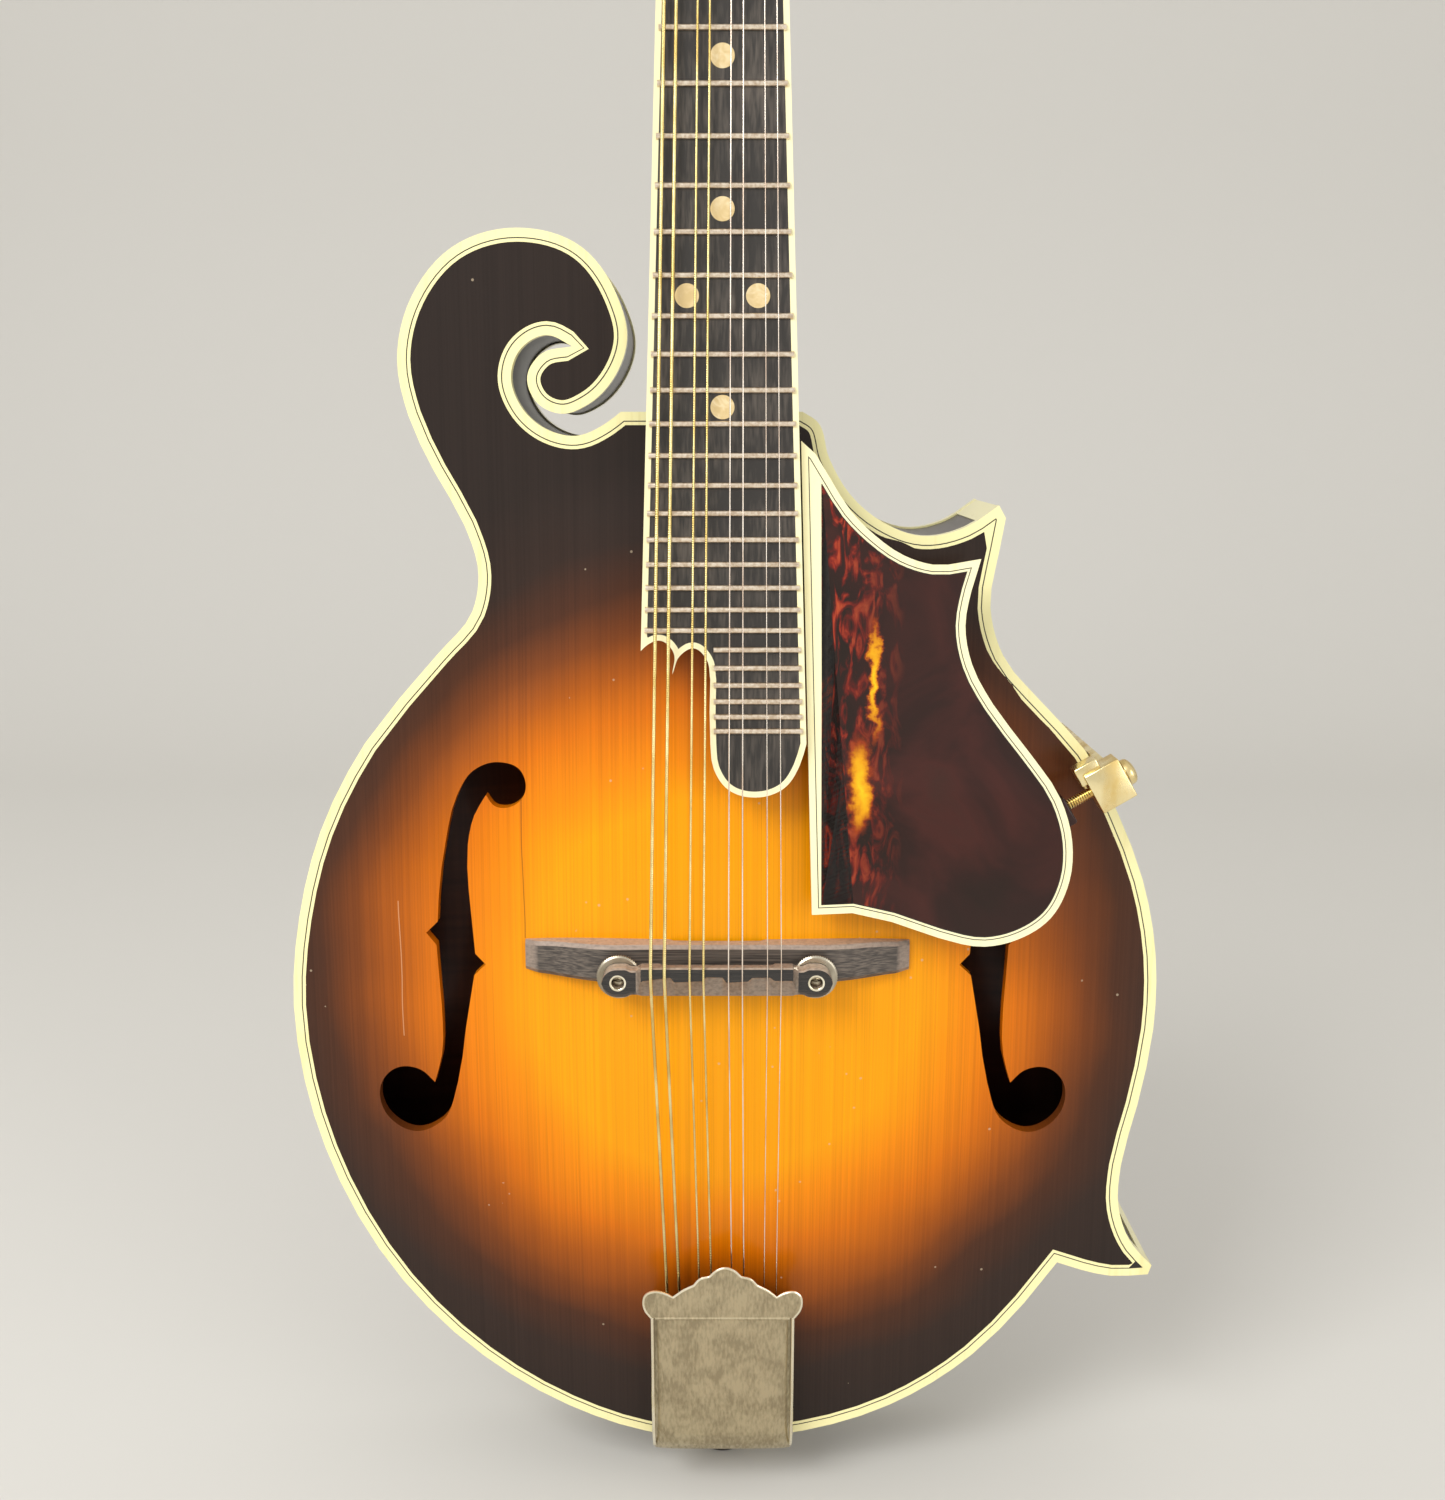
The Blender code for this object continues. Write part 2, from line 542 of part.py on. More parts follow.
# ---- carved arching -------------------------------------------------------------------------
class Arching:
    """Height of the carved plates over the body's outline, as a share of the full arch.

    A stretched membrane over the outline gives an even dome in the wide lower bout and a
    lower one in the narrow upper bout; the border stays flat.
    """
    CELL = 0.004
    BLEND = 0.022
    FULLNESS = 0.8

    def __init__(self, outline):
        self.corners = np.array([tuple(point) for point in outline])
        self.low = self.corners.min(axis=0) - 2 * self.CELL
        high = self.corners.max(axis=0) + 2 * self.CELL
        shape = np.ceil((high - self.low) / self.CELL).astype(int) + 1
        across, along = np.meshgrid(np.arange(shape[0]), np.arange(shape[1]), indexing="ij")
        nodes = np.stack([across.ravel(), along.ravel()], axis=1) * self.CELL + self.low
        inside = self.inside(nodes).reshape(shape)
        field = np.zeros(shape)
        for _ in range(2500):
            around = (np.roll(field, 1, 0) + np.roll(field, -1, 0)
                      + np.roll(field, 1, 1) + np.roll(field, -1, 1))
            field = np.where(inside, around / 4 + 1.0, 0.0)
        self.field = 1 - np.sqrt(1 - field / field.max())

    def inside(self, spots):
        starts = self.corners
        ends = np.roll(starts, -1, axis=0)
        x = spots[:, 0, None]
        z = spots[:, 1, None]
        spans = (starts[:, 1] > z) != (ends[:, 1] > z)
        rise = ends[:, 1] - starts[:, 1]
        rise = np.where(rise == 0, 1e-12, rise)
        crossing = starts[:, 0] + (z - starts[:, 1]) * (ends[:, 0] - starts[:, 0]) / rise
        return ((spans & (x < crossing)).sum(axis=1) % 2) == 1

    def edge_distance(self, spots):
        starts = self.corners
        runs = np.roll(starts, -1, axis=0) - starts
        away = spots[:, None, :] - starts
        share = np.clip((away * runs).sum(axis=2) / (runs ** 2).sum(axis=1), 0, 1)
        return np.sqrt(((away - share[..., None] * runs) ** 2).sum(axis=2)).min(axis=1)

    def heights(self, spots):
        spots = np.asarray(spots, dtype=float)
        cell = (spots - self.low) / self.CELL
        limit = np.array(self.field.shape) - 2
        corner = np.clip(np.floor(cell).astype(int), 0, limit)
        share = np.clip(cell - corner, 0, 1)
        i, j = corner.T
        u, v = share.T
        dome = (self.field[i, j] * (1 - u) * (1 - v) + self.field[i + 1, j] * u * (1 - v)
                + self.field[i, j + 1] * (1 - u) * v + self.field[i + 1, j + 1] * u * v)
        rise = ease(dome ** self.FULLNESS)
        border = ease((self.edge_distance(spots) - FLAT_MARGIN) / self.BLEND)
        return np.where(self.inside(spots), rise * border, 0.0)

    def height(self, x, z):
        return float(self.heights([(x, z)])[0])


def ease(values):
    steady = np.clip(values, 0, 1)
    return steady * steady * (3 - 2 * steady)


def top_surface(x, z):
    """Y of the soundboard's outer face."""
    return RIM_Y - TOP_ARCH * arching.height(x, z)


def carved_slab(name, face_y, rise, pitch=0.0145):
    """A gridded plate whose outer face follows the arching; rise is negative for the top."""
    low = arching.corners.min(axis=0) - 0.004
    high = arching.corners.max(axis=0) + 0.004
    columns, rows = (int(ceil(side / pitch)) for side in high - low)
    bm = bmesh.new()
    bmesh.ops.create_grid(bm, x_segments=columns, y_segments=rows, size=0.5)
    size = high - low
    middle = (low + high) / 2
    spots = [(middle[0] + v.co.x * size[0], middle[1] + v.co.y * size[1]) for v in bm.verts]
    for vert, spot, height in zip(bm.verts, spots, arching.heights(spots)):
        vert.co = (spot[0], face_y + rise * height, spot[1])
    outer = bm.faces[:]
    grown = bmesh.ops.extrude_face_region(bm, geom=outer)
    inner = [item for item in grown["geom"] if isinstance(item, bmesh.types.BMVert)]
    toward_inside = PLATE if rise < 0 else -PLATE
    bmesh.ops.translate(bm, verts=inner, vec=(0, toward_inside, 0))
    return finish_mesh(name, bm)


# ---- neck and head frames -------------------------------------------------------------------
def board_width(along):
    """Width of the fingerboard at a distance from the bridge."""
    return NUT_WIDTH + BOARD_TAPER * (SCALE_LENGTH - along)


def neck_point(x, below, along):
    """World place of a point given under the board's plane, measured from the bridge."""
    return neck_frame_matrix @ Vector((x, below, along))


def neck_along(world_z, below):
    """Distance along the board's frame at which a depth reaches a world height."""
    return (world_z - BRIDGE_Z + below * sin(NECK_PITCH)) / cos(NECK_PITCH)


def fret_place(number):
    return SCALE_LENGTH * 2 ** (-number / 12)


# ---- sub-parts: the sound box ---------------------------------------------------------------
def make_plates():
    seat = inset(outline, BINDING + GAP)
    holes = [body_place(smooth_path(F_HOLE))]
    holes.append([Vector((-point.x, point.y)) for point in holes[0]])
    for name, face, rise, material in (
            ("top_plate", RIM_Y, -TOP_ARCH, "spruce_sunburst"),
            ("back_plate", -RIM_Y, BACK_ARCH, "maple_lacquer")):
        plate = place(name, carved_slab(name, face, rise), material)
        border = prism(name + "_border", [seat], -BODY_DEPTH, BODY_DEPTH)
        combine(plate, "INTERSECT", guide(name + "_border", border))
        if name == "top_plate":
            for number, hole in enumerate(holes):
                cut = prism("sound_hole", [hole], -BODY_DEPTH, 0)
                combine(plate, "DIFFERENCE", guide(f"sound_hole_{number}", cut))


def make_bindings():
    inner = inset(outline, BINDING)
    place("top_binding", prism("top_binding", [outline, inner], RIM_Y, RIM_Y + PLATE), "ivoroid")
    place("back_binding", prism("back_binding", [outline, inner], -RIM_Y - PLATE, -RIM_Y), "ivoroid")


def rim_span():
    """Front and back of the sides and blocks between the plates."""
    return RIM_Y + PLATE + GAP, -RIM_Y - PLATE - GAP


def make_ribs():
    outside = inset_all(outline, RIB_INSET)
    inside = inset_all(outline, RIB_INSET + RIB)
    pin_hole = guide("pin_hole", cylinder("pin_hole", PIN_STEM + GAP, (0, 0, 0), (0, 0, 0.06)))
    for name, start, end in (
            ("rib_upper_treble", SHOULDER, HORN_BEFORE),
            ("rib_waist_treble", HORN_AFTER, LOWER_BEFORE),
            ("rib_lower_treble", LOWER_AFTER, TAIL_POINT),
            ("rib_bass", TAIL_POINT, SCROLL_FOOT)):
        first = nearest(outline, body_place([start])[0])
        last = nearest(outline, body_place([end])[0])
        if last < first:
            last += len(outline)
        numbers = [n % len(outline) for n in range(first, last + 1)]
        outer = shorten([outside[n] for n in numbers], GAP / 2)
        inner = shorten([inside[n] for n in numbers], GAP / 2)
        rib = place(name, prism(name, [outer + inner[::-1]], *rim_span()), "maple_lacquer")
        if TAIL_POINT in (start, end):
            combine(rib, "DIFFERENCE", pin_hole)


def make_blocks():
    face = inset(outline, RIB_INSET)
    throat = body_place([(26, 118.5), (10, 114), (-30, 114), (-56, 126)])
    head = shorten(stretch(face, SCROLL_FOOT, SHOULDER), GAP / 2)
    leave = (head[1] - head[0]).normalized()
    throat.append(head[0] + Vector((leave.y, -leave.x)) * 2.5 * RIB)
    block = place("head_block", prism("head_block", [head + throat], *rim_span()), "bare_mahogany")
    mortise = box("mortise", (-TENON[0] / 2 - GAP, -TENON[1] / 2 - GAP, joint_z - TENON[2] - GAP),
                  (TENON[0] / 2 + GAP, TENON[1] / 2 + GAP, joint_z + GAP))
    combine(block, "DIFFERENCE", guide("mortise", mortise))
    for name, start, end in (("upper_point_block", HORN_BEFORE, HORN_AFTER),
                             ("lower_point_block", LOWER_BEFORE, LOWER_AFTER)):
        tip = shorten(stretch(face, start, end), GAP / 2)
        place(name, prism(name, [tip], *rim_span()), "bare_mahogany")
    depth = rim_span()[0] + GAP
    inner_z = PIN_REACH + RIB_INSET + RIB + GAP
    slope = tail_block_slope()
    sole = [(-TAIL_BLOCK[0] / 2, inner_z + slope), (0, inner_z), (TAIL_BLOCK[0] / 2, inner_z + slope)]
    crown = [(TAIL_BLOCK[0] / 2, inner_z + TAIL_BLOCK[1]), (-TAIL_BLOCK[0] / 2, inner_z + TAIL_BLOCK[1])]
    tail = place("tail_block", prism("tail_block", [sole + crown], depth - GAP, -depth + GAP),
                 "bare_mahogany")
    combine(tail, "DIFFERENCE", bpy.data.objects["pin_hole"])


def tail_block_slope():
    """How far the rib has curved up at the tail block's corners."""
    path = inset(outline, RIB_INSET + RIB)
    base = min(point.y for point in path)
    corners = [p.y for p in path if abs(p.x) < TAIL_BLOCK[0] / 2 + 0.012 and p.y < base + 0.02]
    return max(corners) - base


def make_tone_bars():
    for name, side in (("tone_bar_bass", -1), ("tone_bar_treble", 1)):
        rings = []
        for step in range(13):
            share = step / 12
            z = BRIDGE_Z + (72 - 176 * share) * MM * LENGTH_FACTOR
            x = side * (20 + 10 * share) * MM * WIDTH_FACTOR
            swell = BAR_HEIGHT * (0.35 + 0.65 * sin(pi * share))
            front = max(top_surface(x + BAR_WIDTH / 2, z), top_surface(x - BAR_WIDTH / 2, z))
            face = front + PLATE + ARCH_GAP
            rings.append([(x - BAR_WIDTH / 2, face, z), (x + BAR_WIDTH / 2, face, z),
                          (x + BAR_WIDTH / 2, face + swell, z), (x - BAR_WIDTH / 2, face + swell, z)])
        place(name, loft(name, rings), "bare_spruce")


# ---- sub-parts: the neck --------------------------------------------------------------------
def neck_section(half_width, depth, sharpness, place_point):
    """A D-shaped ring: flat under the board, rounded below."""
    ring = []
    for step in range(11):
        angle = pi * step / 10
        x = half_width * cos(angle)
        below = depth * abs(sin(angle)) ** sharpness
        ring.append(place_point(x, NECK_TOP + below))
    return ring


def make_neck():
    joint = joint_z + GAP
    board_height = BOARD_ABOVE_RIM - neck_along(joint, 0) * sin(NECK_PITCH)
    heel_depth = (board_height + BODY_DEPTH) / cos(NECK_PITCH) - NECK_TOP - 0.001
    start = neck_along(joint, NECK_TOP)
    rings = []
    for beyond, share, sharpness in HEEL_STATIONS:
        half = board_width(start + beyond) / 2 - WOOD_INSET
        rings.append(neck_section(
            half, heel_depth * share, sharpness,
            lambda x, below, far=beyond: neck_frame_matrix @ Vector(
                (x, below, neck_along(joint, below) + far))))
    shaft_start = start + SHAFT_START
    for step in range(5):
        along = shaft_start + (SCALE_LENGTH - shaft_start) * step / 4
        depth = SHAFT_DEPTH_BODY + (SHAFT_DEPTH_NUT - SHAFT_DEPTH_BODY) * step / 4
        rings.append(neck_section(board_width(along) / 2 - WOOD_INSET, depth, 0.58,
                                  lambda x, below, s=along: neck_point(x, below, s)))
    rings.append(neck_section(NUT_WIDTH / 2 - WOOD_INSET, SHAFT_DEPTH_NUT, 0.6,
                              lambda x, below: neck_point(x, below, HEAD_START - GAP)))
    rings.append(neck_section(NUT_WIDTH / 2 - 0.0015, HEAD_THICKNESS - 0.007, 0.8,
                              lambda x, below: neck_point(x, below + 0.0045, HEAD_START + 0.008)))
    neck = place("neck", loft("neck", rings), "maple_lacquer")
    head = prism("head_wood", [HEAD_PATH], HEADPLATE + GAP, HEAD_THICKNESS)
    combine(neck, "UNION", guide("head_wood", head, head_frame))
    tenon = box("tenon", (-TENON[0] / 2, -TENON[1] / 2, joint_z - TENON[2]),
                (TENON[0] / 2, TENON[1] / 2, joint_z + 0.006))
    combine(neck, "UNION", guide("tenon", tenon))
    combine(neck, "UNION", guide("riser", riser_mesh()))
    channel = box("rod_channel", (-ROD_RADIUS - GAP, 0, start + 0.004),
                  (ROD_RADIUS + GAP, ROD_BELOW + ROD_RADIUS + GAP, HEAD_START + 0.010))
    combine(neck, "DIFFERENCE", guide("rod_channel", channel, neck_frame))
    pocket = box("rod_pocket", (-POCKET_HALF, -0.01, POCKET[0]), (POCKET_HALF, POCKET_DEPTH, POCKET[1]))
    combine(neck, "DIFFERENCE", guide("rod_pocket", pocket, head_frame))
    for x, along in tuner_places():
        hole = cylinder("post_hole", POST_HOLE, (x, -0.02, along), (x, 0.04, along), segments=8)
        combine(neck, "DIFFERENCE", guide(f"post_hole_{x:.3f}_{along:.3f}", hole, head_frame))
    return neck


def riser_mesh():
    """The neck's tongue under the fingerboard, clear of the carved top."""
    far = neck_along(joint_z, NECK_TOP) + 0.004
    rings = []
    for along, bass, treble in (
            (0.068, -0.0005, 0.018), (0.0885, -0.0005, 0.018), (0.0965, -0.0185, 0.0185),
            (0.115, -0.0188, 0.0188), (0.130, -0.019, 0.019),
            (far - 0.0045, -0.0192, 0.0192), (far, -0.0192, 0.0192)):
        z = neck_point(0, 0, along).z
        crown = min(top_surface(x, z) for x in (bass, 0, treble))
        lowest = (crown - ARCH_GAP - neck_point(0, 0, along).y) / cos(NECK_PITCH)
        depth = min(lowest, NECK_TOP + RISER_DEPTH)
        rings.append([(bass, NECK_TOP + GAP, along), (treble, NECK_TOP + GAP, along),
                      (treble, depth, along), (bass, depth, along)])
    world = [[neck_frame_matrix @ Vector(point) for point in ring] for ring in rings]
    return loft("riser", world)


def make_fingerboard():
    """Board with its frets, and the binding round it."""
    treble = board_width(BOARD_TREBLE_END * MM) / 2
    bass = board_width(BOARD_BASS_END * MM) / 2
    tail = [(treble / MM, BOARD_TREBLE_END, True), *BOARD_END_OUTLINE,
            (-bass / MM, BOARD_BASS_END, True)]
    tail = [point * MM for point in smooth_path(tail, closed=False, step=radians(24))]
    nut_half = board_width(BOARD_END) / 2
    whole = [Vector((nut_half, BOARD_END)), *tail, Vector((-nut_half, BOARD_END))]
    inner = square_end(inset(whole, BOARD_BINDING))
    board_edge = inset(inner, GAP)
    binding = prism("fingerboard_binding", [whole + inner[::-1]], 0, BOARD)
    place("fingerboard_binding", binding, "ivoroid", neck_frame)
    board = place("fingerboard", prism("fingerboard", [board_edge], 0, BOARD), "ebony", neck_frame)
    margin = BOARD_BINDING + 2 * GAP
    for number in range(1, FRET_COUNT + 1):
        along = fret_place(number)
        treble_end = board_width(along) / 2 - margin
        bass_end = -treble_end if number < SHORT_FRET else -0.0033 + margin
        if number == FRET_COUNT:
            treble_end -= 0.0002
        half = FRET_WIDTH / 2
        section = [(-half, FRET_SUNK), (half, FRET_SUNK),
                   (half * 0.5, -FRET_HEIGHT), (-half * 0.5, -FRET_HEIGHT)]
        rings = [[(x, below, along + shift) for shift, below in section]
                 for x in (bass_end, treble_end)]
        combine(board, "UNION", guide(f"fret_{number}", loft("fret", rings), neck_frame))


def square_end(path):
    """Carry both ends of the board's inset outline out to the nut."""
    return [Vector((path[0].x, BOARD_END)), *path, Vector((path[-1].x, BOARD_END))]


def string_xs(course, pair, centre=0.0):
    """Places of the eight strings across the instrument."""
    return [centre + course * (n // 2 - 1.5) + pair * (n % 2 - 0.5) for n in range(8)]


def make_nut():
    half = NUT_WIDTH / 2
    crown = -NUT_ACTION - NUT_ABOVE_STRINGS
    comb = [(half, BOARD), (half, crown)]
    for x, radius in reversed(list(zip(string_xs(COURSE_AT_NUT, PAIR_AT_NUT), STRING_RADII))):
        side = radius + GAP
        comb += [(x + side, crown), (x + side, -NUT_ACTION + GAP),
                 (x - side, -NUT_ACTION + GAP), (x - side, crown)]
    comb += [(-half, crown), (-half, BOARD)]
    nut = prism("nut", [comb], SCALE_LENGTH, HEAD_START, plane="XY")
    place("nut", nut, "bone", neck_frame)


def make_truss_rod():
    start = neck_along(joint_z, ROD_BELOW) + 0.006
    rod = cylinder("truss_rod", ROD_RADIUS, (0, ROD_BELOW, start),
                   (0, ROD_BELOW, ROD_NUT_START + 0.005))
    place("truss_rod", rod, "steel", neck_frame)
    hexagon = [(ROD_NUT_ACROSS * cos(a * pi / 3), ROD_NUT_ACROSS * sin(a * pi / 3))
               for a in range(6)]
    bore = [((ROD_RADIUS + 0.0002) * cos(a * pi / 6), (ROD_RADIUS + 0.0002) * sin(a * pi / 6))
            for a in range(12)]
    nut = prism("truss_rod_nut", [hexagon, bore], 0, ROD_NUT_LENGTH, plane="XY")
    place("truss_rod_nut", nut, "brass", neck_frame, location=(0, ROD_BELOW, ROD_NUT_START))


def make_headplate():
    seat = [Vector(point) for point in HEAD_PATH]
    plate = place("headplate", prism("headplate", [seat], 0, HEADPLATE), "black_lacquer", head_frame)
    combine(plate, "DIFFERENCE", bpy.data.objects["rod_pocket"])
    for x, along in tuner_places():
        combine(plate, "DIFFERENCE", bpy.data.objects[f"post_hole_{x:.3f}_{along:.3f}"])
    bell = [(9.5, 1, True), (9, 8, False), (6.5, 17, False), (5.8, 25, False), (3.5, 33, False),
            (0, 35.5, False), (-3.5, 33, False), (-5.8, 25, False), (-6.5, 17, False),
            (-9, 8, False), (-9.5, 1, True)]
    bell = [point * MM for point in smooth_path(bell)][::-1]
    place("truss_rod_cover", prism("truss_rod_cover", [bell], -0.0018, -GAP), "black_lacquer",
          head_frame)


# ---- sub-parts: tuners ----------------------------------------------------------------------
def tuner_places():
    """Post axes in the head frame, bass row first, from the nut outwards."""
    return [(side * TUNER_ROW, TUNER_FIRST + n * TUNER_SPACING) for side in (-1, 1) for n in range(4)]


def make_tuners():
    plate_face = HEAD_THICKNESS + GAP
    worm_depth = plate_face + MACHINE_PLATE + GAP + WORM_RADIUS
    gear_face = worm_depth - GEAR_WIDTH / 2
    worm_reach = GEAR_RADIUS + WORM_RADIUS + GAP
    gear_outline = []
    for tooth in range(GEAR_TEETH):
        for radius, shift in ((GEAR_RADIUS, 0), (GEAR_RADIUS * 0.84, 0.5)):
            angle = 2 * pi * (tooth + shift) / GEAR_TEETH
            gear_outline.append((radius * cos(angle), radius * sin(angle)))
    for side, row in ((-1, "bass"), (1, "treble")):
        edge = (0.0085, 0.0075)
        first = TUNER_FIRST - edge[1]
        last = TUNER_FIRST + 3 * TUNER_SPACING + 0.0135
        middle = side * TUNER_ROW
        strip = box("strip", (middle - edge[0], plate_face, first),
                    (middle + edge[0], plate_face + MACHINE_PLATE, last))
        plate = place(f"tuner_plate_{row}", strip, "aged_nickel", head_frame)
        for number in range(4):
            along = TUNER_FIRST + number * TUNER_SPACING
            hole = cylinder("hole", POST_HOLE, (middle, plate_face - 0.002, along),
                            (middle, plate_face + 0.004, along), segments=8)
            combine(plate, "DIFFERENCE", guide(f"plate_hole_{row}_{number}", hole, head_frame))
            for ear_side in (-1, 1):
                x = middle + ear_side * EAR_SPREAD
                ear = box("ear", (x - 0.001, plate_face + 0.0004, along + worm_reach - 0.003),
                          (x + 0.001, worm_depth + 0.003, along + worm_reach + 0.003))
                combine(plate, "UNION", guide(f"ear_{row}_{number}_{ear_side}", ear, head_frame))
            bore = cylinder("bore", SHAFT_RADIUS + GAP,
                            (middle - 0.01, worm_depth, along + worm_reach),
                            (middle + 0.01, worm_depth, along + worm_reach), segments=8)
            combine(plate, "DIFFERENCE", guide(f"shaft_bore_{row}_{number}", bore, head_frame))

            front = POST_HEIGHT
            back = -(gear_face + GEAR_WIDTH + 0.0008)
            capstan = profile("post", [(0, front), (POST_RADIUS, front), (POST_WAIST, front - 0.004),
                                       (POST_WAIST, 0.003), (POST_RADIUS, 0.001),
                                       (POST_RADIUS, -gear_face - 0.001), (0.0022, back), (0, back)])
            post = place(f"tuner_post_{row}_{number + 1}", capstan, "aged_nickel", head_frame,
                         location=(middle, 0, along), rotation=(pi / 2, 0, 0))
            turned(post, steps=8)
            gear = prism("gear", [gear_outline], -gear_face - GEAR_WIDTH, -gear_face, plane="XY")
            gear = guide(f"gear_{row}_{number + 1}", gear, head_frame, (middle, 0, along),
                         (pi / 2, 0, 0))
            combine(post, "UNION", gear)

            outward = side * (BUTTON_START + 0.004) - middle
            inward = -side * 0.007
            axle = cylinder("axle", SHAFT_RADIUS, (inward, 0, 0), (outward, 0, 0), segments=8)
            button = place(f"tuner_button_{row}_{number + 1}", axle, "pearl_plastic", head_frame,
                           location=(middle, worm_depth, along + worm_reach))
            worm = cylinder("worm", WORM_RADIUS, (-0.0038, 0, 0), (0.0038, 0, 0), segments=10)
            spot = (middle, worm_depth, along + worm_reach)
            combine(button, "UNION", guide(f"worm_{row}_{number + 1}", worm, head_frame, spot))
            near = BUTTON_START - TUNER_ROW
            low = (side * near if side > 0 else -near - BUTTON_SIZE[0], -BUTTON_SIZE[1] / 2,
                   -BUTTON_SIZE[2] / 2)
            high = (low[0] + BUTTON_SIZE[0], BUTTON_SIZE[1] / 2, BUTTON_SIZE[2] / 2)
            grip = box("grip", low, high, bevel=0.0028)
            combine(button, "UNION", guide(f"grip_{row}_{number + 1}", grip, head_frame, spot))


# ---- sub-parts: bridge ----------------------------------------------------------------------
def make_bridge():
    centre = BRIDGE_OFFSET
    foot_z = BRIDGE_Z + BASE_OFFSET
    post_z = BRIDGE_Z + POST_OFFSET
    crest = RIM_Y - CREST_ABOVE_RIM
    saddle_floor = crest + SADDLE_HEIGHT
    wheel_back = saddle_floor + GAP + WHEEL_THICKNESS
    base_face = wheel_back + GAP + SADDLE_TRAVEL
    rings = []
    half = BASE_LENGTH / 2
    for step in range(15):
        x = half * (step / 7 - 1)
        reach = abs(x) / half
        flank = BASE_DEPTH / 2 * (1 - BASE_WAIST * reach ** 4)
        seat = min(top_surface(centre + x, foot_z + z) for z in (-flank, 0, flank)) - ARCH_GAP
        if abs(x) < BASE_ARCH[0]:
            seat -= BASE_ARCH[1]
        wing = float(ease(np.array((reach - WING_START) / WING_RUN)))
        face = base_face + (seat - WING - base_face) * wing
        edge = face + BASE_CHAMFER
        inside = flank - BASE_CHAMFER
        rings.append([(centre + x, seat, foot_z - flank), (centre + x, seat, foot_z + flank),
                      (centre + x, edge, foot_z + flank), (centre + x, face, foot_z + inside),
                      (centre + x, face, foot_z - inside), (centre + x, edge, foot_z - flank)])
    base = place("bridge_base", loft("bridge_base", rings), "ebony")

    half = SADDLE_LENGTH / 2
    back_edge = post_z - SADDLE_BOTTOM / 2
    front_edge = post_z + SADDLE_BOTTOM / 2
    rings = []
    for share, shift in SADDLE_STEPS:
        x = centre + half * share
        peak = saddle_floor - SADDLE_HEIGHT * (SADDLE_END if abs(share) == 1 else 1.0)
        floor = saddle_floor - (SADDLE_HOLLOW if abs(share) < 0.5 else 0)
        shoulder = saddle_floor - SADDLE_SHOULDER
        crest_front = front_edge + SADDLE_LEAN
        crest_back = crest_front - SADDLE_TOP + shift * MM
        rings.append([(x, floor, back_edge), (x, floor, front_edge),
                      (x, shoulder, front_edge + SADDLE_LEAN / 2), (x, peak, crest_front),
                      (x, peak, crest_back), (x, shoulder, back_edge)])
    saddle = place("bridge_saddle", loft("bridge_saddle", rings), "ebony")

    post_back = base_face + POST_SEAT
    post_front = saddle_floor - POST_ENTRY
    for name, side in (("bass", -1), ("treble", 1)):
        x = centre + side * BRIDGE_POST_SPAN / 2
        hole = cylinder("seat", BRIDGE_POST_RADIUS + GAP, (x, post_back + GAP, post_z),
                        (x, post_front - SADDLE_TRAVEL - GAP, post_z))
        hole = guide(f"bridge_hole_{name}", hole)
        combine(base, "DIFFERENCE", hole)
        combine(saddle, "DIFFERENCE", hole)
        post = cylinder("post", BRIDGE_POST_RADIUS, (x, post_back, post_z), (x, post_front, post_z))
        place(f"bridge_post_{name}", post, "aged_nickel")
        bore = BRIDGE_POST_RADIUS + WHEEL_FIT
        rim = [(WHEEL_RADIUS, WHEEL_THICKNESS), (WHEEL_RADIUS, 0), (bore, 0), (bore, WHEEL_THICKNESS)]
        wheel = place(f"thumbwheel_{name}", profile("wheel", rim, closed=True), "aged_nickel",
                      location=(x, wheel_back, post_z), rotation=(pi / 2, 0, 0))
        turned(wheel, steps=20)


# ---- sub-parts: tailpiece and end pin -------------------------------------------------------
def base_line(z):
    """Height above the rim of the tailpiece base's upper face."""
    return BASE_STEP + max(0.0, z - PIN_REACH - BASE_BEND) * BASE_SLOPE


def make_tailpiece():
    half = TAILPIECE_WIDTH / 2 - TAILPIECE_SHEET - 2 * GAP
    front = PIN_REACH + HOOK_FROM_TAIL + 0.006
    back = PIN_REACH - GAP
    leg = -RIM_Y - PLATE - 0.002
    sheet = TAILPIECE_BASE
    bend = PIN_REACH + BASE_BEND
    flat = RIM_Y - base_line(bend)
    rise = RIM_Y - base_line(front)
    section = [
        (front, rise), (bend, flat), (back - sheet + 0.001, flat), (back - sheet, flat + 0.001),
        (back - sheet, leg), (back, leg), (back, flat + sheet), (bend, flat + sheet),
        (front, rise + sheet),
    ]
    base = prism("tailpiece_base", [section], -half, half, plane="ZY")
    base = place("tailpiece_base", base, "aged_nickel")
    hook_z = PIN_REACH + HOOK_FROM_TAIL
    foot = RIM_Y - base_line(hook_z)
    for number, x in enumerate(string_xs(COURSE_AT_TAIL, PAIR_AT_TAIL)):
        hook = box("hook", (x - HOOK_HALF, foot - HOOK_HEIGHT, hook_z - 0.0022),
                   (x + HOOK_HALF, foot + TAILPIECE_BASE / 2, hook_z - 0.001))
        combine(base, "UNION", guide(f"hook_{number}", hook))
    combine(base, "DIFFERENCE", bpy.data.objects["pin_hole"])
    make_tailpiece_cover()


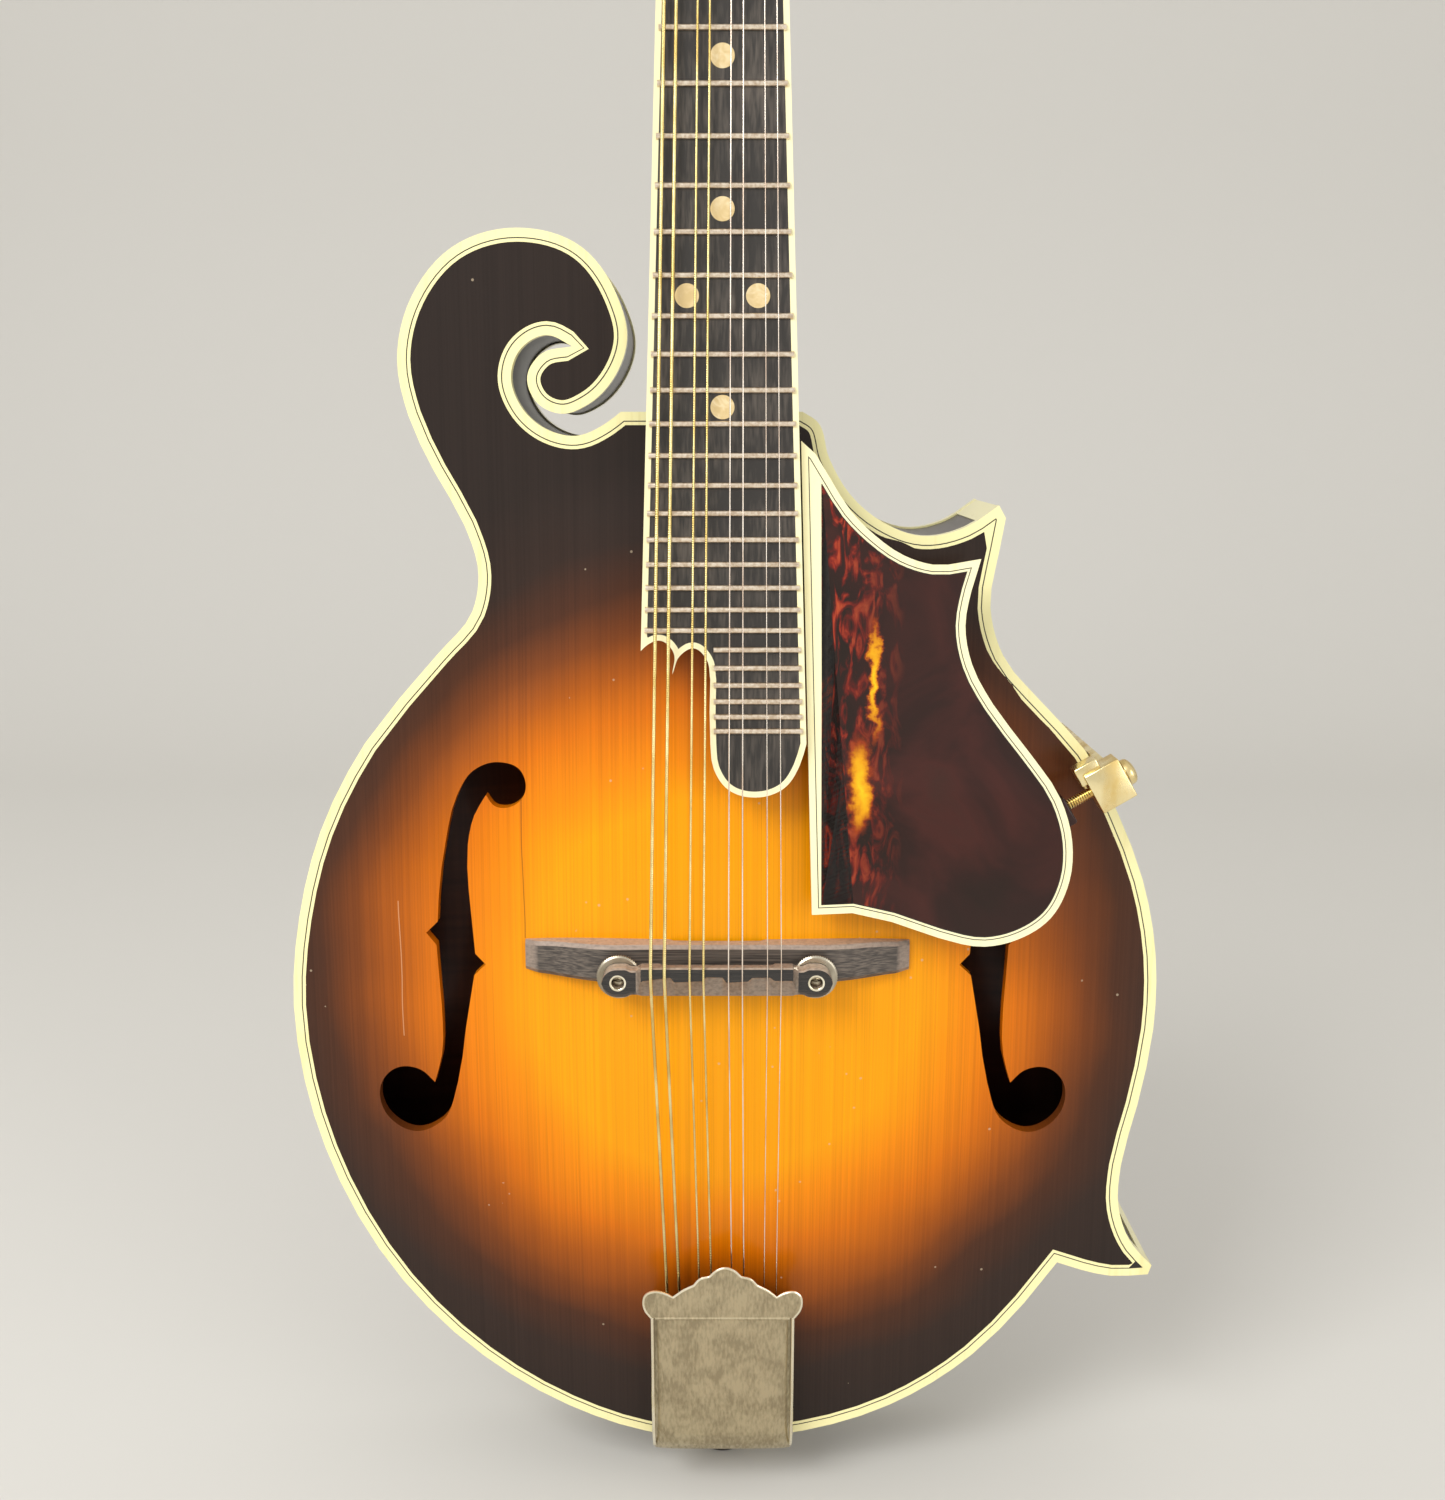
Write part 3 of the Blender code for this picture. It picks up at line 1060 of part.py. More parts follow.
def make_tailpiece_cover():
    """A folded channel that slides over the base, with a flat scalloped crown."""
    wide = TAILPIECE_WIDTH / 2
    bm = bmesh.new()
    rows = []
    for beyond, height in COVER_STATIONS:
        z = PIN_REACH + beyond
        skirt = base_line(z) - COVER_SKIRT
        row = []
        for step in range(15):
            angle = pi * step / 14
            x = wide * abs(cos(angle)) ** 0.5 * (1 if cos(angle) >= 0 else -1)
            rise = skirt + (height - skirt) * abs(sin(angle)) ** 0.5
            row.append(bm.verts.new((x, RIM_Y - rise, z)))
        rows.append(row)
    for first, second in zip(rows, rows[1:]):
        for index in range(14):
            bm.faces.new((first[index], first[index + 1], second[index + 1], second[index]))
    cover = place("tailpiece_cover", finish_mesh("tailpiece_cover", bm), "aged_nickel")
    shell = cover.modifiers.new("sheet", "SOLIDIFY")
    shell.thickness = TAILPIECE_SHEET
    shell.offset = -1.0
    rings = []
    brim = TAILPIECE_WIDTH / 2 + CROWN_OVERHANG + 2 * GAP
    for beyond, height in CROWN_STATIONS:
        z = PIN_REACH + beyond
        face = RIM_Y - height
        rings.append([(-brim, face, z), (brim, face, z),
                      (brim, face + TAILPIECE_SHEET, z), (-brim, face + TAILPIECE_SHEET, z)])
    combine(cover, "UNION", guide("crown_sheet", loft("crown_sheet", rings)))
    lobe = [(side * (wide + CROWN_OVERHANG * over), along * MM)
            for side in (1, -1) for over, along in CROWN_LOBE]
    half = len(CROWN_LOBE)
    foot = [(wide + GAP, -0.004), (wide + GAP, CROWN_LOBE[0][1] * MM - 0.0002)]
    crown = [(-wide - GAP, -0.004), (-wide - GAP, foot[1][1]), *lobe[half:],
             *[(x * MM, z * MM) for x, z in CROWN_SCALLOPS], *lobe[:half][::-1], foot[1], foot[0]]
    crown = [(x, PIN_REACH + z * TAILPIECE_LENGTH / NOMINAL_CROWN) for x, z in crown]
    shape = prism("crown", [crown], RIM_Y - 0.04, 0)
    combine(cover, "INTERSECT", guide("crown", shape))


def make_end_pin():
    collar = PIN_REACH - GAP - TAILPIECE_BASE - GAP
    points = [(0, PIN_REACH + 0.018), (PIN_STEM, PIN_REACH + 0.016), (PIN_STEM, collar),
              (0.0062, collar), (0.0062, collar - 0.002), (0.0046, collar - 0.004),
              (0.0052, 0.0045), (0.0074, 0.0028), (0.0072, 0.001), (0.006, 0), (0, 0)]
    pin = place("end_pin", profile("end_pin", points), "ebony")
    turned(pin, steps=16)


# ---- sub-parts: pickguard and its clamp -----------------------------------------------------
def guard_path():
    """Outline of the guard in the board's frame, whose straight edge runs beside the board."""
    def beside(along):
        return board_width(along) / 2 + GUARD_CLEARANCE

    tip = GUARD_TIP * MM * LENGTH_FACTOR
    foot = GUARD_FOOT * MM
    path = [Vector((beside(foot), foot)), Vector((beside(max(tip - 0.001, foot)), tip))]
    curve = smooth_path(GUARD_OUTLINE, closed=False)
    path += [Vector((point.x * MM * WIDTH_FACTOR, point.y * MM * LENGTH_FACTOR))
             for point in curve]
    return path


def make_pickguard():
    edge = guard_path()
    guard = prism("pickguard", [edge], GUARD_DROP, GUARD_DROP + GUARD)
    guard = place("pickguard", guard, "tortoise", neck_frame)
    clamp_face, outward = clamp_place()
    turn = atan2(outward.y, outward.x)
    rod_y = clamp_rod_y()
    origin = (clamp_face.x, 0, clamp_face.y)
    rotation = (0, -turn, 0)

    lug = box("guard_lug", (-0.0205, rod_y - 0.006, -0.004), (-0.0135, rod_y + 0.0032, 0.004))
    combine(guard, "UNION", guide("guard_lug", lug, None, origin, rotation))
    bore = cylinder("rod_bore", ROD_BORE, (-0.0190, rod_y, 0), (0.010, rod_y, 0))
    combine(guard, "DIFFERENCE", guide("guard_bore", bore, None, origin, rotation))

    reach = 0.0024
    post = box("clamp_post", (GAP, rod_y - 0.004, -CLAMP_HALF), (reach, -RIM_Y + 0.0025, CLAMP_HALF))
    clamp = place("pickguard_clamp", post, "gold_plate", None, origin, rotation)
    for name, low, high in (
            ("clamp_head", (-0.006, rod_y - 0.0045, -0.006), (CLAMP_HEAD, rod_y + 0.0035, 0.006)),
            ("clamp_lip", (-0.006, RIM_Y - 0.0022 - GAP, -0.004), (0.001, RIM_Y - GAP, 0.004)),
            ("clamp_neck", (-0.005, rod_y, -0.0045), (0.001, RIM_Y - 0.001, 0.0045)),
            ("clamp_hook", (-0.0045, -RIM_Y + GAP, -0.004), (0.001, -RIM_Y + 0.0025, 0.004))):
        combine(clamp, "UNION", guide(name, box(name, low, high), None, origin, rotation))
    combine(clamp, "DIFFERENCE", guide("clamp_bore", bore.copy(), None, origin, rotation))

    head_x = CLAMP_HEAD + GAP
    points = [(0, head_x + 0.0030), (0.0022, head_x + 0.0026), (0.0036, head_x + 0.0012),
              (0.0038, head_x), (GUARD_SCREW_RADIUS, head_x), (GUARD_SCREW_RADIUS, GUARD_SCREW_END),
              (0, GUARD_SCREW_END)]
    screw = place("pickguard_screw", profile("pickguard_screw", points), "gold_plate", None,
                  (clamp_face.x, rod_y, clamp_face.y), (0, pi / 2 - turn, 0))
    turned(screw, steps=14)


def clamp_place():
    """Where the clamp grips the rim, and the outward direction there."""
    index = nearest(outline, body_place([CLAMP_SPOT])[0])
    along = (outline[index + 1] - outline[index - 1]).normalized()
    return outline[index], Vector((-along.y, along.x))


def clamp_rod_y():
    """Height of the clamp's rod: just under the guard."""
    spot, _ = clamp_place()
    along = (spot.y - BRIDGE_Z) / cos(NECK_PITCH)
    return neck_point(0, GUARD_DROP + GUARD, along).y + ROD_UNDER_GUARD


# ---- sub-parts: strings ---------------------------------------------------------------------
def make_strings():
    crest = RIM_Y - CREST_ABOVE_RIM
    hook_z = PIN_REACH + HOOK_FROM_TAIL
    at_tail = string_xs(COURSE_AT_TAIL, PAIR_AT_TAIL)
    at_bridge = string_xs(COURSE_AT_BRIDGE, PAIR_AT_BRIDGE, BRIDGE_OFFSET - 0.0003)
    at_nut = string_xs(COURSE_AT_NUT, PAIR_AT_NUT)
    tuners = tuner_places()
    order = (0, 1, 2, 3, 7, 6, 5, 4)
    for number, radius in enumerate(STRING_RADII):
        post_x, post_along = tuners[order[number]]
        side = -1 if post_x < 0 else 1
        beside = post_x - side * (POST_WAIST + radius + GAP)
        wrap = -(0.0052 + 0.0002 * (number % 2))
        foot = RIM_Y - base_line(hook_z) - 0.0014
        points = [
            Vector((at_tail[number], foot, hook_z - 0.0005)),
            Vector((at_bridge[number], crest - GAP - radius, BRIDGE_Z - 0.0018)),
            Vector((at_bridge[number], crest - GAP - radius, BRIDGE_Z + 0.0004)),
            neck_point(at_nut[number], -NUT_ACTION - radius, SCALE_LENGTH),
            neck_point(at_nut[number], -NUT_ACTION - radius, HEAD_START),
            head_frame_matrix @ Vector((beside, wrap, post_along)),
        ]
        curve = bpy.data.curves.new("string", "CURVE")
        curve.dimensions = "3D"
        curve.bevel_depth = radius
        curve.bevel_resolution = 1
        curve.use_fill_caps = True
        spline = curve.splines.new("POLY")
        spline.points.add(len(points) - 1)
        for point, spot in zip(spline.points, points):
            point.co = (*spot, 1)
        name = f"string_{STRING_NAMES[number]}"
        string = bpy.data.objects.new(name, curve)
        curve.materials.append(make_material("bronze_string" if number < 4 else "steel_string"))
        parts.objects.link(string)


# ---- frames and assembly --------------------------------------------------------------------
neck_frame_matrix = (Matrix.Translation((0, RIM_Y - BOARD_ABOVE_RIM, BRIDGE_Z))
                     @ Matrix.Rotation(-NECK_PITCH, 4, "X"))
head_frame_matrix = (neck_frame_matrix @ Matrix.Translation((0, HEAD_DROP, HEAD_START))
                     @ Matrix.Rotation(-HEAD_TILT, 4, "X"))
joint_z = BRIDGE_Z + BODY_OUTLINE[0][1] * MM * LENGTH_FACTOR

clear_scene()
parts = new_collection("mandolin")
guides = new_collection("guides")
neck_frame = make_frame("neck_frame", None, (0, RIM_Y - BOARD_ABOVE_RIM, BRIDGE_Z), -NECK_PITCH)
head_frame = make_frame("head_frame", neck_frame, (0, HEAD_DROP, HEAD_START), -HEAD_TILT)
outline = body_place(smooth_path(BODY_OUTLINE))
HEAD_PATH = [point * MM for point in smooth_path(HEAD_OUTLINE)]
arching = Arching(outline)

make_plates()
make_bindings()
make_ribs()
make_blocks()
make_tone_bars()
make_neck()
make_fingerboard()
make_nut()
make_truss_rod()
make_headplate()
make_tuners()
make_bridge()
make_tailpiece()
make_end_pin()
make_pickguard()
make_strings()
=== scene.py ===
# %% [markdown]
# # A carved mandolin, built around its measured frame
#
# A maker carves the top and back of this mandolin like a violin's, bends the sides, and glues
# a scroll's block at one shoulder. The frame that loads below holds every part at its real
# place, in metres. Each cell adds one visible part around it: where the frame's shape is
# coarse, a finer piece stands for it, and where it is right, it only gets a finish.

import json
from math import atan2, ceil, cos, pi, radians, sin, sqrt

import bmesh
import bpy
import numpy as np
from mathutils import Matrix, Vector
from mathutils.bvhtree import BVHTree

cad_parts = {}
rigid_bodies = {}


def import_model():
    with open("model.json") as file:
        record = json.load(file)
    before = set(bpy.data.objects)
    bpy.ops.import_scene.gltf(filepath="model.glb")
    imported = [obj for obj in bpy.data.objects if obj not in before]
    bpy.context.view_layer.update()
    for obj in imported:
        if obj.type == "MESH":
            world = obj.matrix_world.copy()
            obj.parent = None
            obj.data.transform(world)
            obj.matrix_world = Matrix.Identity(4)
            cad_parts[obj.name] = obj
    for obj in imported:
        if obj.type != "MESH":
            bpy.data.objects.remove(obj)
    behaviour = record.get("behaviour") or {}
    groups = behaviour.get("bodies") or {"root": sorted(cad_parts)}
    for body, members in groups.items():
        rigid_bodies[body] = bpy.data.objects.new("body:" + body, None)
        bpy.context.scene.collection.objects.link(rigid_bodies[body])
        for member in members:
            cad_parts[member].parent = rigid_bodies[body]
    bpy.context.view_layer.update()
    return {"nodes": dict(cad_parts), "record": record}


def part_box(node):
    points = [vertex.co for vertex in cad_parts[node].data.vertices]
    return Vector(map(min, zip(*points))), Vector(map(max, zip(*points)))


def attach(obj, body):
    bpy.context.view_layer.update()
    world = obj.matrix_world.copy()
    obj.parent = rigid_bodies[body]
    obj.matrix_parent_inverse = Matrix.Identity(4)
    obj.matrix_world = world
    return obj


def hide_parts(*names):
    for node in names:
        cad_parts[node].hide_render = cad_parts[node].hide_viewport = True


for stray in list(bpy.data.objects):
    bpy.data.objects.remove(stray)

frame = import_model()

# %% [markdown]
# The maker's reference planes come from the frame. The rim is the flat edge where the top
# meets the sides. The bridge stands at one scale length from the nut, with its foot a little
# behind the line where the strings bear. The neck leans back from the rim by a few degrees and
# the head leans further, so the fingerboard and the head each have their own tilted frame.

# %% Reference planes
MM = 0.001
GAP = 0.0003
RIM_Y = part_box("top_binding")[0].y
BACK_RIM_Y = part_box("back_binding")[1].y
PLATE = 0.004
base_low, base_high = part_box("bridge_base")
FOOT_SETBACK = 0.0015
BRIDGE_Z = (base_low.z + base_high.z) / 2 + FOOT_SETBACK
BRIDGE_X = (base_low.x + base_high.x) / 2
PIN_REACH = 0.016
SCALE_LENGTH = 0.3524
NECK_PITCH = radians(4.8)
HEAD_TILT = radians(14)
BOARD_ABOVE_RIM = 0.028
BOARD = 0.0055
NUT_WIDTH = 0.029
BOARD_TAPER = 0.0575
HEAD_START = SCALE_LENGTH + 0.005
HEAD_DROP = 0.003
NECK = Matrix.Translation((0, RIM_Y - BOARD_ABOVE_RIM, BRIDGE_Z)) @ Matrix.Rotation(-NECK_PITCH, 4, "X")
HEAD = NECK @ Matrix.Translation((0, HEAD_DROP, HEAD_START)) @ Matrix.Rotation(-HEAD_TILT, 4, "X")
print(f"bridge at {BRIDGE_Z * 1000:.1f} mm above the end pin's face, rim at y {RIM_Y * 1000:.1f} mm")


def board_width(along):
    """Width of the fingerboard at a distance from the bridge."""
    return NUT_WIDTH + BOARD_TAPER * (SCALE_LENGTH - along)


def fret_place(number):
    """Each fret shortens the string by the twelfth root of two."""
    return SCALE_LENGTH * 2 ** (-number / 12)


# %% [markdown]
# The camera stands where a viewer stands who holds the mandolin up at arm's length, a little
# above the bridge and looking down on it. A pale sweep of paper makes floor and background.
# One large lamp from the upper left and a weak one from the right keep the light plain, so
# that a colour looks as it is written.

# %% Camera, paper sweep and lamps
camera_data = bpy.data.cameras.new("viewer")
camera_data.sensor_width = 36
camera_data.lens = 38.4
camera = bpy.data.objects.new("viewer", camera_data)
camera.location = (0, RIM_Y - 0.450, BRIDGE_Z + 0.146)
camera.rotation_euler = (radians(90 - 11.3), 0, 0)
bpy.context.scene.collection.objects.link(camera)
bpy.context.scene.camera = camera
bpy.context.scene.view_settings.view_transform = "Standard"


def linear(code):
    """An sRGB hex colour as the linear values that a shader reads."""
    parts = [int(code[start:start + 2], 16) / 255 for start in (1, 3, 5)]
    return (*[c / 12.92 if c <= 0.04045 else ((c + 0.055) / 1.055) ** 2.4 for c in parts], 1.0)


def add(tree, kind, inputs=None, stops=None, **settings):
    """Add one node. An input is a plain value, or another node's output to link."""
    made = tree.nodes.new("ShaderNode" + kind)
    for name, value in settings.items():
        setattr(made, name, value)
    for name, value in (inputs or {}).items():
        if isinstance(value, bpy.types.NodeSocket):
            tree.links.new(value, made.inputs[name])
        else:
            made.inputs[name].default_value = value
    for number, (spot, colour) in enumerate(stops or ()):
        ramp = made.color_ramp.elements
        stop = ramp[number] if number < 2 else ramp.new(spot)
        stop.position = spot
        stop.color = linear(colour)
    return made


def new_material(name, slot, colour="#808080", **constants):
    """A principled material with constant sockets, and the record's slot that it belongs to."""
    made = bpy.data.materials.new(name)
    made.use_nodes = True
    made["slot"] = slot
    shader = made.node_tree.nodes["Principled BSDF"]
    shader.inputs["Base Color"].default_value = linear(colour)
    for socket, value in constants.items():
        shader.inputs[socket.replace("_", " ")].default_value = value
    return made, made.node_tree, shader


paper = new_material("pale_paper", "", "#d9d7d2", Roughness=0.9)[0]
PAPER_HALF, BEND_FROM, BEND = 4, 1.0, 0.7
bend = [(BEND_FROM + BEND * sin(a), BEND - BEND * cos(a)) for a in
        [pi / 2 * k / 12 for k in range(1, 13)]]
sweep = bmesh.new()
floor_edge = [sweep.verts.new((-PAPER_HALF, y, z)) for y, z in
              [(-PAPER_HALF, 0), (BEND_FROM, 0)] + bend + [(BEND_FROM + BEND, PAPER_HALF)]]
edges = [sweep.edges.new(pair) for pair in zip(floor_edge, floor_edge[1:])]
grown = bmesh.ops.extrude_edge_only(sweep, edges=edges)
bmesh.ops.translate(sweep, verts=[v for v in grown["geom"] if isinstance(v, bmesh.types.BMVert)],
                    vec=(2 * PAPER_HALF, 0, 0))
bmesh.ops.recalc_face_normals(sweep, faces=sweep.faces[:])
sweep_mesh = bpy.data.meshes.new("paper_sweep")
sweep.to_mesh(sweep_mesh)
sweep.free()
sweep_mesh.shade_smooth()
sweep_mesh.materials.append(paper)
floor = bpy.data.objects.new("paper_sweep", sweep_mesh)
bpy.context.scene.collection.objects.link(floor)


def lamp(name, spot, size, power):
    """A square soft box that faces the middle of the instrument."""
    data = bpy.data.lights.new(name, "AREA")
    data.size = size
    data.energy = power
    made = bpy.data.objects.new(name, data)
    made.location = spot
    made.rotation_euler = (Vector((0, 0, 0.25)) - Vector(spot)).to_track_quat("-Z", "Y").to_euler()
    bpy.context.scene.collection.objects.link(made)


lamp("key_box", (-0.75, -1.05, 1.15), 0.7, 15.0)
lamp("fill_box", (1.1, -1.2, 0.5), 0.9, 6.0)
world = bpy.data.worlds.new("room")
bpy.context.scene.world = world
world.use_nodes = True
room = world.node_tree.nodes["Background"]
room.inputs["Color"].default_value = linear("#f4f2ee")
room.inputs["Strength"].default_value = 0.88
print("camera, sweep, two lamps and a pale room")

# %% [markdown]
# Three small tools do most of the modelling. `smooth_path` runs a curve through a maker's
# drawn points, round or cornered. `inset` moves an outline inwards, as a purfling cutter does.
# `slab` fills outlines and extrudes them, for every flat-sawn part.

# %% Outline tools
def even_tangent(before, point, after):
    """Direction through a point, weighted towards its nearer neighbour."""
    back = point - before
    ahead = after - point
    return (back / back.length_squared + ahead / ahead.length_squared).normalized()


def smooth_path(points, closed=True, step=radians(5)):
    """Sample a curve through the points: round where the third value is False."""
    count = len(points)
    spots = [Vector(point[:2]) for point in points]
    last = count if closed else count - 1
    path = []
    for index in range(last):
        start = spots[index]
        end = spots[(index + 1) % count]
        reach = (end - start).length / 3
        leave = arrive = (end - start).normalized()
        if not points[index][2] and (closed or index > 0):
            leave = even_tangent(spots[index - 1], start, end)
        if not points[(index + 1) % count][2] and (closed or index < last - 1):
            arrive = even_tangent(start, end, spots[(index + 2) % count])
        turn = leave.angle(end - start) + arrive.angle(end - start)
        pieces = max(1, ceil(turn / step))
        for piece_number in range(pieces):
            t = piece_number / pieces
            s = 1 - t
            path.append(start * s ** 3 + (start + leave * reach) * 3 * s * s * t
                        + (end - arrive * reach) * 3 * s * t * t + end * t ** 3)
    if not closed:
        path.append(spots[-1])
    return path


def inset(path, distance):
    """A closed clockwise path moved inwards, without the points that would fold over."""
    starts = np.array([tuple(point) for point in path])
    runs = np.roll(starts, -1, axis=0) - starts
    kept = []
    for index, point in enumerate(path):
        before = (point - path[index - 1]).normalized()
        after = (path[(index + 1) % len(path)] - point).normalized()
        first = Vector((before.y, -before.x))
        second = Vector((after.y, -after.x))
        reflex = before.cross(after) > 0
        mitre = (first + second) / max(1 + first.dot(second), 0.5 if reflex else 0.05)
        moved = point + mitre * distance
        away = np.array(tuple(moved)) - starts
        share = np.clip((away * runs).sum(axis=1) / (runs ** 2).sum(axis=1), 0, 1)
        clear = np.sqrt(((away - share[:, None] * runs) ** 2).sum(axis=1)).min()
        if clear > 0.96 * distance:
            kept.append(moved)
    return kept


def slab(outlines, low, high, matrix=None):
    """Closed outlines in x and z, filled and made thick from y low to y high."""
    bm = bmesh.new()
    edges = []
    for path in outlines:
        verts = [bm.verts.new((point[0], low, point[1])) for point in path]
        edges += [bm.edges.new((verts[index - 1], verts[index])) for index in range(len(verts))]
    bmesh.ops.triangle_fill(bm, use_beauty=True, use_dissolve=False, edges=edges)
    grown = bmesh.ops.extrude_face_region(bm, geom=bm.faces[:])
    moved = [item for item in grown["geom"] if isinstance(item, bmesh.types.BMVert)]
    bmesh.ops.translate(bm, verts=moved, vec=(0, high - low, 0))
    bmesh.ops.recalc_face_normals(bm, faces=bm.faces[:])
    if matrix is not None:
        bmesh.ops.transform(bm, matrix=matrix, verts=bm.verts[:])
    return bm


def add_object(name, bm, sharp=35):
    """An object at the origin from a finished bmesh, smooth except over sharp edges."""
    mesh = bpy.data.meshes.new(name)
    bm.to_mesh(mesh)
    bm.free()
    mesh.shade_smooth()
    mesh.set_sharp_from_angle(angle=radians(sharp))
    made = bpy.data.objects.new(name, mesh)
    bpy.context.scene.collection.objects.link(made)
    return made


def cut(target, operation, bm):
    """Apply a Boolean with a throwaway cutter."""
    helper = add_object("cutter", bm)
    change = target.modifiers.new(operation, "BOOLEAN")
    change.operation = operation
    change.solver = "EXACT"
    change.object = helper
    settle(target)
    bpy.data.objects.remove(helper)


def settle(target):
    """Make an object's modifiers part of its mesh."""
    evaluated = target.evaluated_get(bpy.context.evaluated_depsgraph_get())
    mesh = bpy.data.meshes.new_from_object(evaluated)
    target.modifiers.clear()
    target.data = mesh


def show(made, finish, body="instrument", stands_for=(), sharp=None):
    """Give a finished object its material and its body, and hide the frame nodes that it stands for."""
    if sharp is not None:
        made.data.shade_smooth()
        made.data.set_sharp_from_angle(angle=radians(sharp))
    made.data.materials.clear()
    made.data.materials.append(finish)
    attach(made, body)
    if stands_for:
        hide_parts(*stands_for)
    return made


# %% [markdown]
# The outline of the body runs clockwise from the neck, and one sound hole is drawn for both.
# Both lists hold only the points that the shapes turn on, in millimetres from the bridge. The
# third value marks a corner, and every other point is passed in a round curve.

# %% Outlines of the body and of a sound hole
BODY_OUTLINE = (
    (22, 151, True), (26, 148.5, False), (29.5, 138.5, False), (35.5, 128.5, False),
    (44.5, 121, False), (56, 117, False), (68, 119.5, False), (77, 125.5, True),
    (79, 122, True), (77.5, 113, False), (75.5, 97, False), (79.5, 83.5, False),
    (91.5, 69.5, False), (104, 56, False), (114.5, 37, False), (122.5, 17.5, False),
    (127.5, -5.5, False), (128, -28.5, False), (124.5, -52.5, False), (120.5, -72, False),
    (120.5, -86, False), (125.5, -98.5, False), (131.5, -105, True), (130.5, -108, True),
    (119, -108.5, False), (110, -106.5, False), (102.5, -104, True), (93, -117.5, False),
    (77.5, -135, False), (52, -152.5, False), (25, -161.5, False), (0, -164, False),
    (-24, -161.5, False), (-48, -152.5, False), (-74, -135.5, False), (-98, -110, False),
    (-116, -77, False), (-125, -44.5, False), (-127, -21, False), (-124, 6, False),
    (-116.5, 32, False), (-102.5, 58, False), (-81, 83.5, False), (-70.5, 96, False),
    (-68.5, 106, False), (-72, 120, False), (-80, 135, False), (-86.5, 150, False),
    (-89, 165, False), (-84.5, 181.5, False), (-73, 194.5, False), (-55.5, 199.5, False),
    (-38, 194.5, False), (-28.5, 181.5, False), (-26, 170.5, False), (-29.5, 160.5, False),
    (-37, 153, False), (-44.5, 150.5, False), (-51, 153.5, False), (-53.5, 160.5, False),
    (-49.5, 166.5, False), (-41, 168.5, True), (-48, 171.5, False), (-55, 168, False),
    (-58, 160.5, False), (-55.5, 152.5, False), (-49, 146.5, False), (-40.5, 144.5, False),
    (-32, 148, False), (-28, 151, True), (-22, 151, True),
)
F_HOLE = (
    (-64, 53.5, False), (-71.5, 50.5, False), (-76, 43.5, False), (-79.5, 30.5, False),
    (-82, 13.5, False), (-82.5, 6.5, True), (-86, 3, True), (-83, -0.5, True),
    (-82, -19, False), (-82.5, -34, False), (-85, -43, True), (-89, -39.5, False),
    (-95.5, -39, False), (-101.5, -44.5, False), (-101, -54, False), (-92.5, -59.5, False),
    (-83.5, -55.5, False), (-78, -42.5, False), (-75, -25.5, False), (-72, -9, True),
    (-68.5, -5.5, True), (-71.5, -2.5, True), (-73, 16.5, False), (-73, 29.5, False),
    (-71, 38, False), (-67.5, 44, True), (-65, 41, False), (-60, 41, False),
    (-56, 45.5, False), (-57.5, 51.5, False),
)
body_path = [Vector((p.x * MM, BRIDGE_Z + p.y * MM)) for p in smooth_path(BODY_OUTLINE)]
print("body outline:", len(body_path), "points")


# %% [markdown]
# The top is spruce, split on the quarter, carved to an arch and sprayed with a sunburst: clear
# amber in the middle, brown further out and nearly black at the edge. Nitrocellulose lacquer
# over it has a warm, slightly dulled gloss. The winter lines of the grain run along the
# strings about one millimetre apart, and they darken with the stain. Two hairline cracks
# follow the grain beside the left sound hole.

